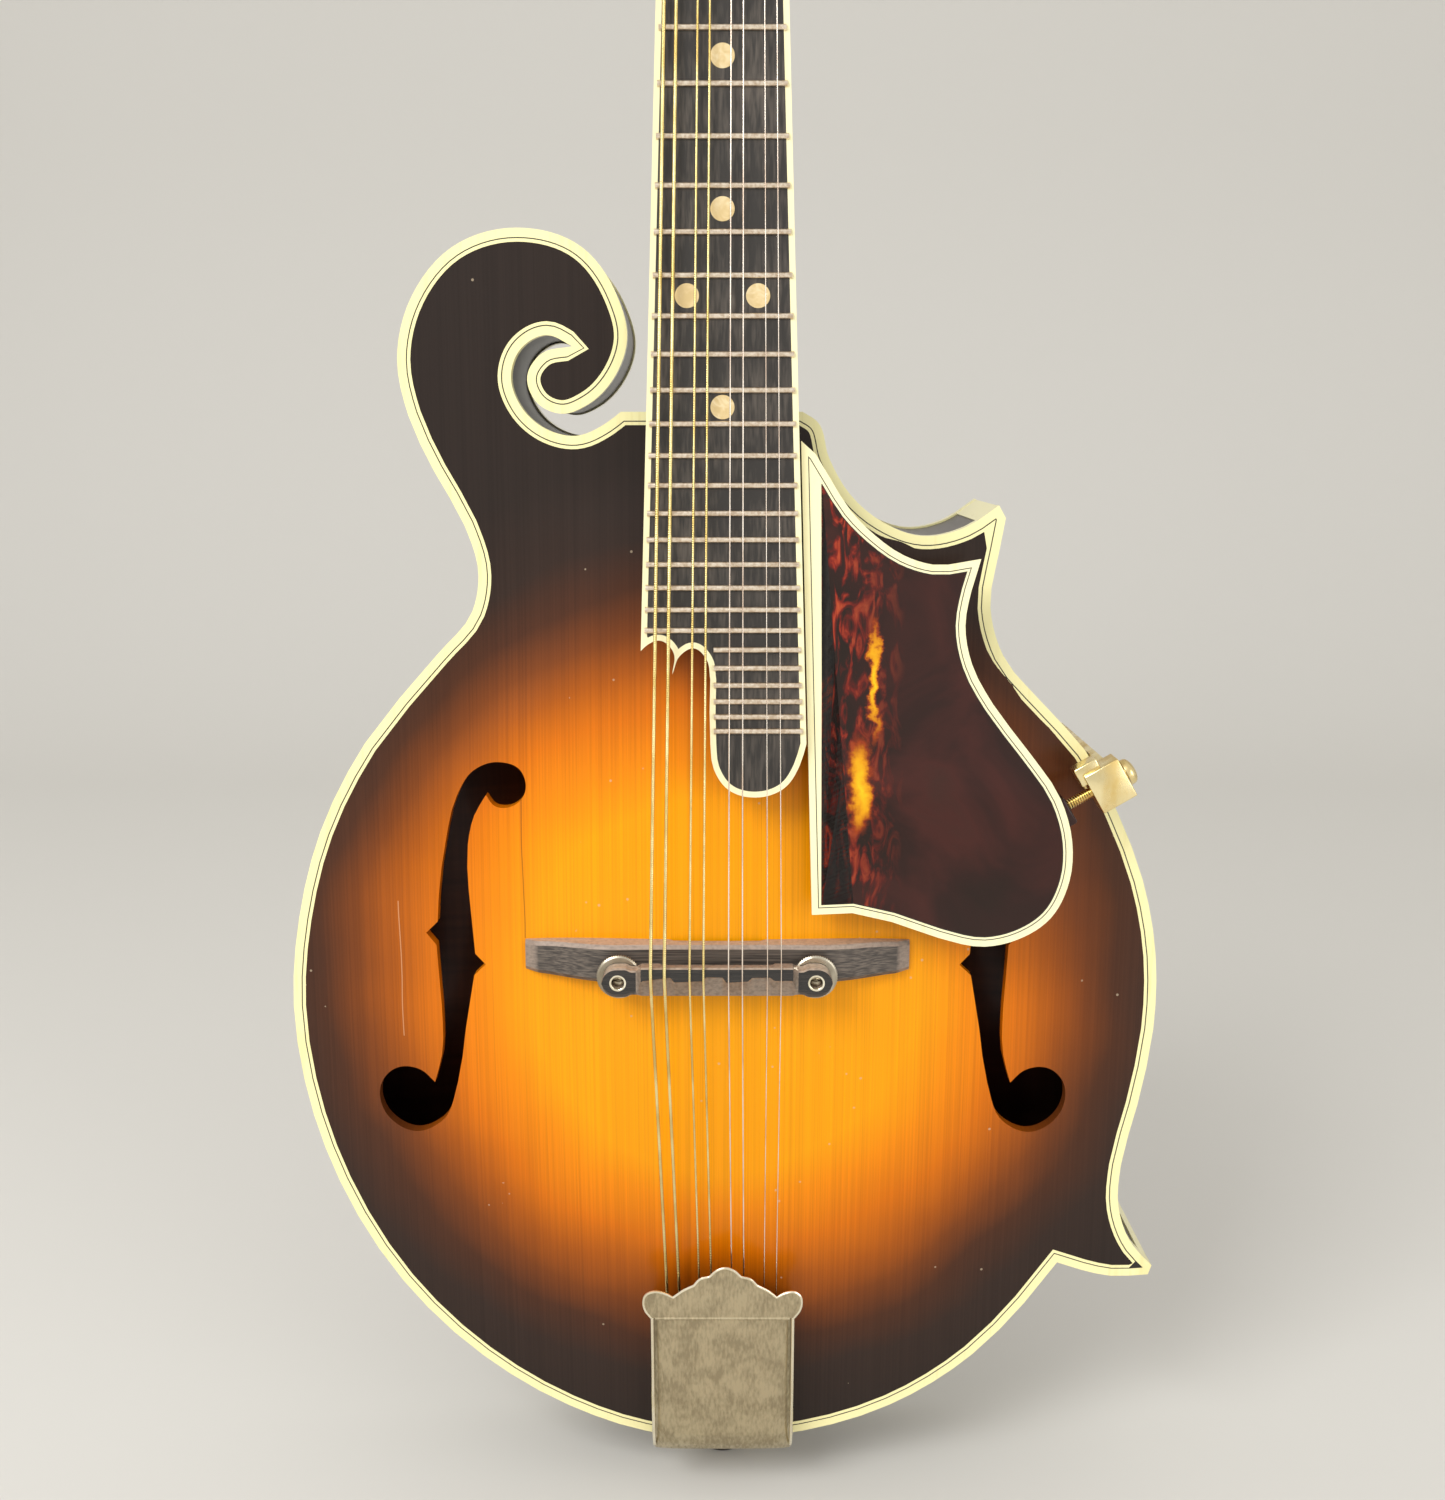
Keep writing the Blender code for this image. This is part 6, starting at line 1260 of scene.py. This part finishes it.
ROD = CLAMP @ Matrix.Translation((0, rod_y, 0)) @ Matrix.Rotation(pi / 2, 4, "Y")
ROD_END, ROD_RADIUS, THREAD_DEEP, HALF_PITCH = -0.0185, 0.0016, 0.0003, 0.00035
thread = [(0, ROD_END)]
thread += [(ROD_RADIUS - THREAD_DEEP * (k % 2), ROD_END + HALF_PITCH * k) for k in range(65)]
thread.append((0, 0.0044))
rod_head = screw_head(0.0038, 0.0028, ROD @ Matrix.Translation((0, 0, 0.0049)))
show(add_object("guard_rod", gather([lathe(thread, 16, ROD), rod_head])), gold,
     body="pickguard_screw", stands_for=["pickguard_screw"])
show(add_object("guard_lug", block((-0.0205, rod_y - 0.006, -0.004), (-0.0135, rod_y + 0.0032, 0.004),
                                   0.0006, CLAMP)), tortoise)
print("clamp at", [round(value * 1000, 1) for value in CLAMP.translation])

# %% [markdown]
# The two horns of the body wear small ivoroid plates that keep their tips from chipping. Inside
# them, and behind the neck, sit mahogany blocks that the sides are glued to.

# %% Point plates and blocks
def stretch(path, start, end):
    """The part of a closed path between the points nearest to two drawn ones."""
    spots = [Vector((p[0] * MM, BRIDGE_Z + p[1] * MM)) for p in (start, end)]
    first, last = (min(range(len(path)), key=lambda k: (path[k] - spot).length) for spot in spots)
    last += len(path) if last <= first else 0
    return [path[k % len(path)] for k in range(first, last + 1)]


def bare_wood(name, slot, pale, dark, scale):
    """Planed, unfinished wood with its grain along the third axis."""
    made, tree, shader = new_material(name, slot, pale, Roughness=0.72)
    place = add(tree, "TexCoord").outputs["Object"]
    lines = add(tree, "Mapping", {"Vector": place, "Scale": scale}).outputs["Vector"]
    grain = add(tree, "TexNoise", {"Vector": lines, "Scale": 1.0, "Detail": 3.0, "Distortion": 0.4})
    tone = add(tree, "ValToRGB", {"Fac": grain.outputs["Fac"]}, stops=[(0.35, pale), (0.65, dark)])
    tree.links.new(tone.outputs["Color"], shader.inputs["Base Color"])
    relief = add(tree, "Bump", {"Height": grain.outputs["Fac"], "Strength": 0.2, "Distance": 0.0002})
    tree.links.new(relief.outputs["Normal"], shader.inputs["Normal"])
    return made


mahogany = bare_wood("sawn_mahogany", "bare_mahogany", "#8a5734", "#5f371f", (600, 600, 45))
bare_spruce = bare_wood("planed_spruce", "bare_spruce", "#d9bb86", "#b78f58", (900, 200, 12))
SIDE_SPAN = (RIM_Y + PLATE, BACK_RIM_Y - PLATE)
POINT_PLATE = (0.0001, 0.0012)
POINTS = (("upper", (71, 121), (78, 118), (68, 119.5), (77.5, 113)),
          ("lower", (127.5, -101), (124, -108.3), (125.5, -98.5), (119, -108.5)))
for name, start, end, wood_start, wood_end in POINTS:
    outer, inner = (stretch(inset(body_path, depth), start, end) for depth in POINT_PLATE)
    show(add_object(f"{name}_point_plate", slab([outer + inner[::-1]], *SIDE_SPAN)), aged_ivoroid)
    show(add_object(f"{name}_point_wood", slab([stretch(rib_inner, wood_start, wood_end)], *SIDE_SPAN)),
         mahogany, stands_for=[f"{name}_point_block"])
neck_block = stretch(rib_inner, (-72, 120), (35.5, 128.5))
neck_block += [Vector((x * MM, BRIDGE_Z + z * MM)) for x, z in
               ((26, 118.5), (10, 114), (-30, 114), (-56, 126))]
show(add_object("neck_block", slab([neck_block], *SIDE_SPAN)), mahogany, stands_for=["head_block"])
print("two point plates and three blocks")
# %% [markdown]
# The neck is one piece of maple. Behind the board it is a shallow D in section, it deepens to
# a heel where it meets the body, and a narrow tongue of it carries the board over the top. The
# sections below are cut square to the board, except at the heel, where they follow the body.

# %% Neck, heel and tongue
JOINT_Z = BRIDGE_Z + 0.151
NECK_TOP = BOARD + GAP
HEEL_STEPS, HEEL_STEP, HEEL_LONG = 24, 0.0015, 0.06
SHAFT_STEPS, SHAFT_DEEP, SHAFT_TAPER = 8, 0.0155, 0.002


def neck_along(z, below):
    """Distance along the tilted board at which a depth below it reaches a height."""
    return (z - BRIDGE_Z + below * sin(NECK_PITCH)) / cos(NECK_PITCH)


def d_section(half, depth, fullness, spot):
    """A D-shaped ring, flat under the board."""
    ring = []
    for turn in range(33):
        angle = pi * turn / 32
        ring.append(spot(half * cos(angle), NECK_TOP + depth * abs(sin(angle)) ** fullness))
    return ring


dark_neck = sunburst("dark_nitro_on_maple_neck", "maple_lacquer",
                     [(0.0, "#3a1f14"), (1.0, "#2a1711")], BRIDGE_Z, 1.2, flame=0.18)
heel_from = neck_along(JOINT_Z, NECK_TOP)
board_height = BOARD_ABOVE_RIM - neck_along(JOINT_Z, 0) * sin(NECK_PITCH)
heel_depth = (board_height + BACK_RIM_Y - RIM_Y) / cos(NECK_PITCH) - NECK_TOP - 0.001
heel_at, heel_share = (0, 5, 10, 16, 24, 36), (1.0, 0.86, 0.68, 0.52, 0.40, 0.33)
rings = []
for step in range(HEEL_STEPS + 1):
    far = HEEL_STEP * step
    depth = heel_depth * float(np.interp(far / MM, heel_at, heel_share))
    half = board_width(heel_from + far) / 2 - GAP
    rings.append(d_section(half, depth, 0.75 - 0.13 * step / HEEL_STEPS, lambda x, below: NECK @ Vector(
        (x, below, neck_along(JOINT_Z, below) + far))))
shaft_from = heel_from + HEEL_LONG
for step in range(SHAFT_STEPS + 1):
    along = shaft_from + (SCALE_LENGTH - shaft_from) * step / SHAFT_STEPS
    depth = SHAFT_DEEP - SHAFT_TAPER * step / SHAFT_STEPS
    rings.append(d_section(board_width(along) / 2 - GAP, depth, 0.58,
                           lambda x, below: NECK @ Vector((x, below, along))))
rings.append(d_section(NUT_WIDTH / 2 - GAP, SHAFT_DEEP - SHAFT_TAPER, 0.6,
                       lambda x, below: NECK @ Vector((x, below, HEAD_START - GAP))))
rings.append(d_section(NUT_WIDTH / 2 - 0.0012, 0.0105, 0.7,
                       lambda x, below: NECK @ Vector((x, below + HEAD_DROP, HEAD_START + 0.006))))
TONGUE_TOP = NECK_TOP - 0.0002
TONGUE = ((0.068, -0.0005, 0.018), (0.0885, -0.0005, 0.018), (0.0965, -0.0185, 0.0185),
          (0.115, -0.0188, 0.0188), (0.130, -0.019, 0.019), (heel_from + 0.004, -0.0192, 0.0192))
tongue = []
for along, bass, treble in TONGUE:
    board_at = NECK @ Vector((0, 0, along))
    on_body = board_at.z < JOINT_Z - 0.004
    crown = min(RIM_Y - (top_height(x, board_at.z) if on_body else 0.0) for x in (bass, 0, treble))
    depth = min((crown - GAP - board_at.y) / cos(NECK_PITCH), SHAFT_DEEP)
    corners = ((bass, TONGUE_TOP), (treble, TONGUE_TOP), (treble, depth), (bass, depth))
    tongue.append([NECK @ Vector((x, y, along)) for x, y in corners])
print("neck:", len(rings), "sections, and", len(tongue), "for the tongue")

# %% [markdown]
# The head leans back from the neck and is cut from the same maple. Its outline is drawn flat
# from the nut upwards and is not the same on both sides, so it is a list of points, and a slab
# along it joins the neck's last sections.

# %% Head
HEAD_OUTLINE = (
    (-14.5, 1.2, True), (-15.5, 7, False), (-21, 13.5, False), (-29.5, 19.5, False),
    (-33, 29, False), (-31.5, 44, False), (-29, 64, False), (-27.5, 88, False),
    (-27, 106, False), (-28.5, 119, False), (-34, 129, False), (-37, 140, False),
    (-34, 151, False), (-25, 159.5, False), (-12, 162.5, False), (0, 158, False),
    (7, 148.5, False), (14, 141, True), (21, 147.5, False), (30, 149.5, False),
    (37.5, 144.5, False), (38.5, 135.5, False), (33, 126.5, False), (28.5, 117, False),
    (27, 106, False), (27.5, 88, False), (29, 64, False), (31.5, 44, False),
    (33, 29, False), (29.5, 19.5, False), (21, 13.5, False), (15.5, 7, False),
    (14.5, 1.2, True),
)
head_path = [point * MM for point in smooth_path(HEAD_OUTLINE)]
HEADPLATE, HEAD_THICKNESS = 0.0019, 0.0155
head_wood = slab([head_path], HEADPLATE, HEAD_THICKNESS, HEAD)
neck = add_object("carved_neck", gather([loft(rings), loft(tongue), head_wood]), sharp=38)
show(neck, dark_neck, stands_for=["neck"])
print("neck and head are one piece")

# %% [markdown]
# The head is faced with black veneer inside a strip of ivoroid. The veneer is cut away over
# the truss rod, and a bell-shaped cover with two screws hides the opening. The nut's shape is
# the frame's own, so it only gets its polished bone.

# %% Head veneer, truss cover and bone
veneer, tree, shader = new_material("black_nitro_veneer", "black_lacquer", "#100f0e", Roughness=0.16,
                                    Coat_Weight=0.6, Coat_Roughness=0.05)
place = add(tree, "TexCoord").outputs["Object"]
haze = add(tree, "TexNoise", {"Vector": place, "Scale": 60.0, "Detail": 5.0}).outputs["Fac"]
tone = add(tree, "ValToRGB", {"Fac": haze}, stops=[(0.4, "#0d0c0b"), (0.7, "#1d1a18")])
tree.links.new(tone.outputs["Color"], shader.inputs["Base Color"])
gloss = add(tree, "MapRange", {"Value": haze, "From Min": 0.4, "From Max": 0.7, "To Min": 0.12,
                               "To Max": 0.3}).outputs["Result"]
tree.links.new(gloss, shader.inputs["Roughness"])
head_inner = inset(head_path, NECK_BINDING)
show(add_object("head_edge_binding", slab([head_path, head_inner], -0.00002, HEADPLATE, HEAD)),
     aged_ivoroid)
plate = add_object("head_veneer", slab([head_inner], 0.0, HEADPLATE, HEAD))
cut(plate, "DIFFERENCE", block((-0.0045, -0.01, 0.0022), (0.0045, 0.0106, 0.021), matrix=HEAD))
show(plate, veneer, stands_for=["headplate"], sharp=35)
BELL_HALF = ((9.5, 1, True), (9, 8, False), (6.5, 17, False), (5.8, 25, False), (3.5, 33, False))
BELL = BELL_HALF + ((0, 35.5, False),) + tuple((-x, z, corner) for x, z, corner in BELL_HALF[::-1])
BELL_EDGE, BELL_THICK = 0.0008, 0.0018
bell = [point * MM for point in smooth_path(BELL)][::-1]
bell_inner = inset(bell, BELL_EDGE)
show(add_object("bell_cover", slab([bell_inner], -BELL_THICK, -GAP, HEAD)), veneer,
     stands_for=["truss_rod_cover"])
show(add_object("bell_cover_edge", slab([bell, bell_inner], -0.0017, -GAP, HEAD)), pale_ivoroid)
front_up = Matrix.Rotation(pi / 2, 4, "X")
show(add_object("bell_cover_screws", gather(
    [screw_head(0.0013, 0.0006, HEAD @ Matrix.Translation((0, -BELL_THICK, z)) @ front_up)
     for z in (0.0045, 0.0305)])), nickel)
bone = mottled("polished_bone", "bone", "#e6dfc4", 700.0, [(0.35, "#cfc39c"), (0.6, "#ebe4cb")],
               Roughness=0.32, Subsurface_Weight=0.1)
print("veneer, cover and bone")

# %% [markdown]
# Four tuners share each strip of nickel. Inside a tuner a worm on the button's shaft turns a
# fourteen-tooth gear on the post, so the string creeps up as the button spins. Buttons are
# pearl celluloid.

# %% Tuning machines
pearloid, tree, shader = new_material("pearl_celluloid_button", "pearl_plastic", "#e4ddca",
                                      Roughness=0.24, Coat_Weight=0.4)
place = add(tree, "TexCoord").outputs["Object"]
flakes = add(tree, "TexVoronoi", {"Vector": place, "Scale": 420.0})
swirl = add(tree, "TexNoise", {"Vector": place, "Scale": 300.0, "Detail": 3.0, "Distortion": 2.0})
tone = add(tree, "ValToRGB", {"Fac": swirl.outputs["Fac"]}, stops=[(0.35, "#c9bea2"), (0.6, "#efe9da")])
tint = add(tree, "Mix", {"Factor": 0.12, 6: tone.outputs["Color"], 7: flakes.outputs["Color"]},
           data_type="RGBA")
tree.links.new(tint.outputs[2], shader.inputs["Base Color"])
MACHINE, STRIP_THICK, STRIP_HALF = HEAD_THICKNESS + GAP, 0.0012, 0.0085
WORM, GEAR, TEETH_ROUND = 0.0024, 0.0052, 14
WORM_DEPTH = MACHINE + STRIP_THICK + GAP + WORM
WORM_REACH = GEAR + WORM + GAP
GEAR_FACE = WORM_DEPTH - 0.0015
NUT_FACE = GEAR_FACE + 0.0032
EAR_AT, EAR_HALF, EAR_LONG, SCREW_AT = 0.0052, 0.001, 0.003, 0.0062
WORM_THREADS, WORM_PITCH, WORM_FROM, SPINDLE = 5, 0.0015, -0.0038, 0.0014
BUTTON_FROM = 0.036 - TUNER_ROW
BUTTON_WIDE, BUTTON_THICK, BUTTON_LONG = 0.0075, 0.00375, 0.0065
back_up = Matrix.Rotation(-pi / 2, 4, "X")
post_up = Matrix.Rotation(pi / 2, 4, "X")


def tuner_strip(x):
    """A strip of nickel for four tuners, with two ears and two screws for each."""
    first, last = TUNER_FIRST - 0.0075, TUNER_FIRST + 3 * TUNER_SPACING + 0.0135
    parts = [block((x - STRIP_HALF, MACHINE, first), (x + STRIP_HALF, MACHINE + STRIP_THICK, last),
                   0.0005, HEAD)]
    for number in range(4):
        z = TUNER_FIRST + number * TUNER_SPACING + WORM_REACH
        for ear in (x - EAR_AT, x + EAR_AT):
            parts.append(block((ear - EAR_HALF, MACHINE, z - EAR_LONG),
                               (ear + EAR_HALF, WORM_DEPTH + EAR_LONG, z + EAR_LONG), 0.0006, HEAD))
        for screw in (x - SCREW_AT, x + SCREW_AT):
            spot = Matrix.Translation((screw, MACHINE + STRIP_THICK, z - WORM_REACH - 0.0045))
            parts.append(screw_head(0.0014, 0.0007, HEAD @ spot @ back_up))
    return gather(parts)


def string_post(x, along):
    """A waisted post with its gear behind the head and the screw that holds the gear."""
    stand = HEAD @ Matrix.Translation((x, 0, along)) @ post_up
    capstan = [(0, 0.0115), (0.0024, 0.0115), (0.0030, 0.0110), (0.0030, 0.0082),
               (POST_WAIST, 0.0074), (POST_WAIST, 0.0032), (0.0030, 0.0022), (0.0030, -GEAR_FACE),
               (POST_WAIST, -NUT_FACE), (0, -NUT_FACE)]
    teeth = []
    for tooth in range(TEETH_ROUND):
        for shift, radius in ((-0.30, 0.0044), (-0.13, GEAR), (0.13, GEAR), (0.30, 0.0044)):
            angle = 2 * pi * (tooth + shift) / TEETH_ROUND
            teeth.append((radius * cos(angle), radius * sin(angle)))
    gear = loft([[(a, b, -GEAR_FACE - depth) for a, b in teeth] for depth in (0.0, 0.003)], matrix=stand)
    screw = screw_head(0.0021, 0.0008, HEAD @ Matrix.Translation((x, NUT_FACE, along)) @ back_up)
    return gather([lathe(capstan, 28, stand), gear, screw])


def worm_profile():
    """A shaft with five ridges of the worm and a collar in front of the button."""
    ridged = [(0, -0.0070), (0.0013, -0.0070), (SPINDLE, -0.0068), (SPINDLE, WORM_FROM)]
    for number in range(WORM_THREADS):
        start = WORM_FROM + WORM_PITCH * number
        ridged += [(0.0018, start), (WORM, start + 0.0004), (WORM, start + 0.0007),
                   (0.0018, start + 0.0011)]
    return ridged + [(SPINDLE, -WORM_FROM), (SPINDLE, BUTTON_FROM - 0.002), (0.0026, BUTTON_FROM - 0.0018),
                     (0.0026, BUTTON_FROM - 0.0004), (0.0015, BUTTON_FROM), (0.0015, BUTTON_FROM + 0.004),
                     (0, BUTTON_FROM + 0.004)]


def button_rings():
    """Ovals of a flattened button that narrows towards its shaft."""
    rings = []
    for step in range(15):
        share = 1 - cos(pi * step / 14)
        swell = sqrt(max(1 - (share - 1) ** 2, 0.0004)) ** 0.7
        waist = 0.62 + 0.38 * ease(share / 1.1)
        thick, wide = BUTTON_THICK * swell ** 0.8 * (0.8 + 0.2 * waist), BUTTON_WIDE * swell * waist
        rings.append([(thick * cos(a), wide * sin(a), BUTTON_FROM + BUTTON_LONG * share)
                      for a in [2 * pi * k / 32 for k in range(32)]])
    return rings


BUSHING = [(0.0031, -0.001), (0.0031, 0.0008), (0.0040, 0.0008), (0.0046, 0.0003), (0.0047, 0.0),
           (0.0047, -0.001)]
tuner_sides = ((-1, "bass"), (1, "treble"))
for side, row in tuner_sides:
    show(add_object(f"tuner_strip_{row}", tuner_strip(side * TUNER_ROW)), nickel,
         stands_for=[f"tuner_plate_{row}"])
for side, row in tuner_sides:
    for number in range(4):
        node, x, along = f"{row}_{number + 1}", side * TUNER_ROW, TUNER_FIRST + number * TUNER_SPACING
        stand = HEAD @ Matrix.Translation((x, 0, along)) @ post_up
        show(add_object(f"post_bushing_{node}", lathe(BUSHING, 32, stand), sharp=40), nickel)
        show(add_object(f"string_post_{node}", string_post(x, along), sharp=35), nickel,
             body=f"tuner_post_{node}", stands_for=[f"tuner_post_{node}"])
        shaft = HEAD @ Matrix.Translation((x, WORM_DEPTH, along + WORM_REACH))
        shaft = shaft @ Matrix.Rotation(side * pi / 2, 4, "Y")
        show(add_object(f"worm_shaft_{node}", lathe(worm_profile(), 24, shaft), sharp=35), nickel,
             body=f"tuner_button_{node}")
        turned = shaft @ Matrix.Rotation(pi / 2, 4, "Z")
        show(add_object(f"button_{node}", loft(button_rings(), matrix=turned), sharp=60), pearloid,
             body=f"tuner_button_{node}", stands_for=[f"tuner_button_{node}"])
print("eight tuners on two strips")
# %% [markdown]
# The frame's parts inside the body and under the covers already have the right shape. They
# keep it, and get the finish of their own material.

# %% Finish the frame's remaining parts
steel = plated("turned_steel_rod", "steel", "#7f7f7d", "#b2b2ae", 0.38)
brass = plated("machined_brass", "brass", "#a8823a", "#d9b766", 0.30)
finishes = {"bare_spruce": bare_spruce, "bare_mahogany": mahogany, "bone": bone, "steel": steel,
            "brass": brass, "aged_nickel": nickel_sheet}
slots = {row["node"]: row["material_slot"] for row in frame["record"]["subparts"]}
kept = [name for name, node in frame["nodes"].items() if not node.hide_render]
for name in kept:
    frame["nodes"][name].data.materials.clear()
    frame["nodes"][name].data.materials.append(finishes[slots[name]])
print("kept frame parts:", ", ".join(kept))
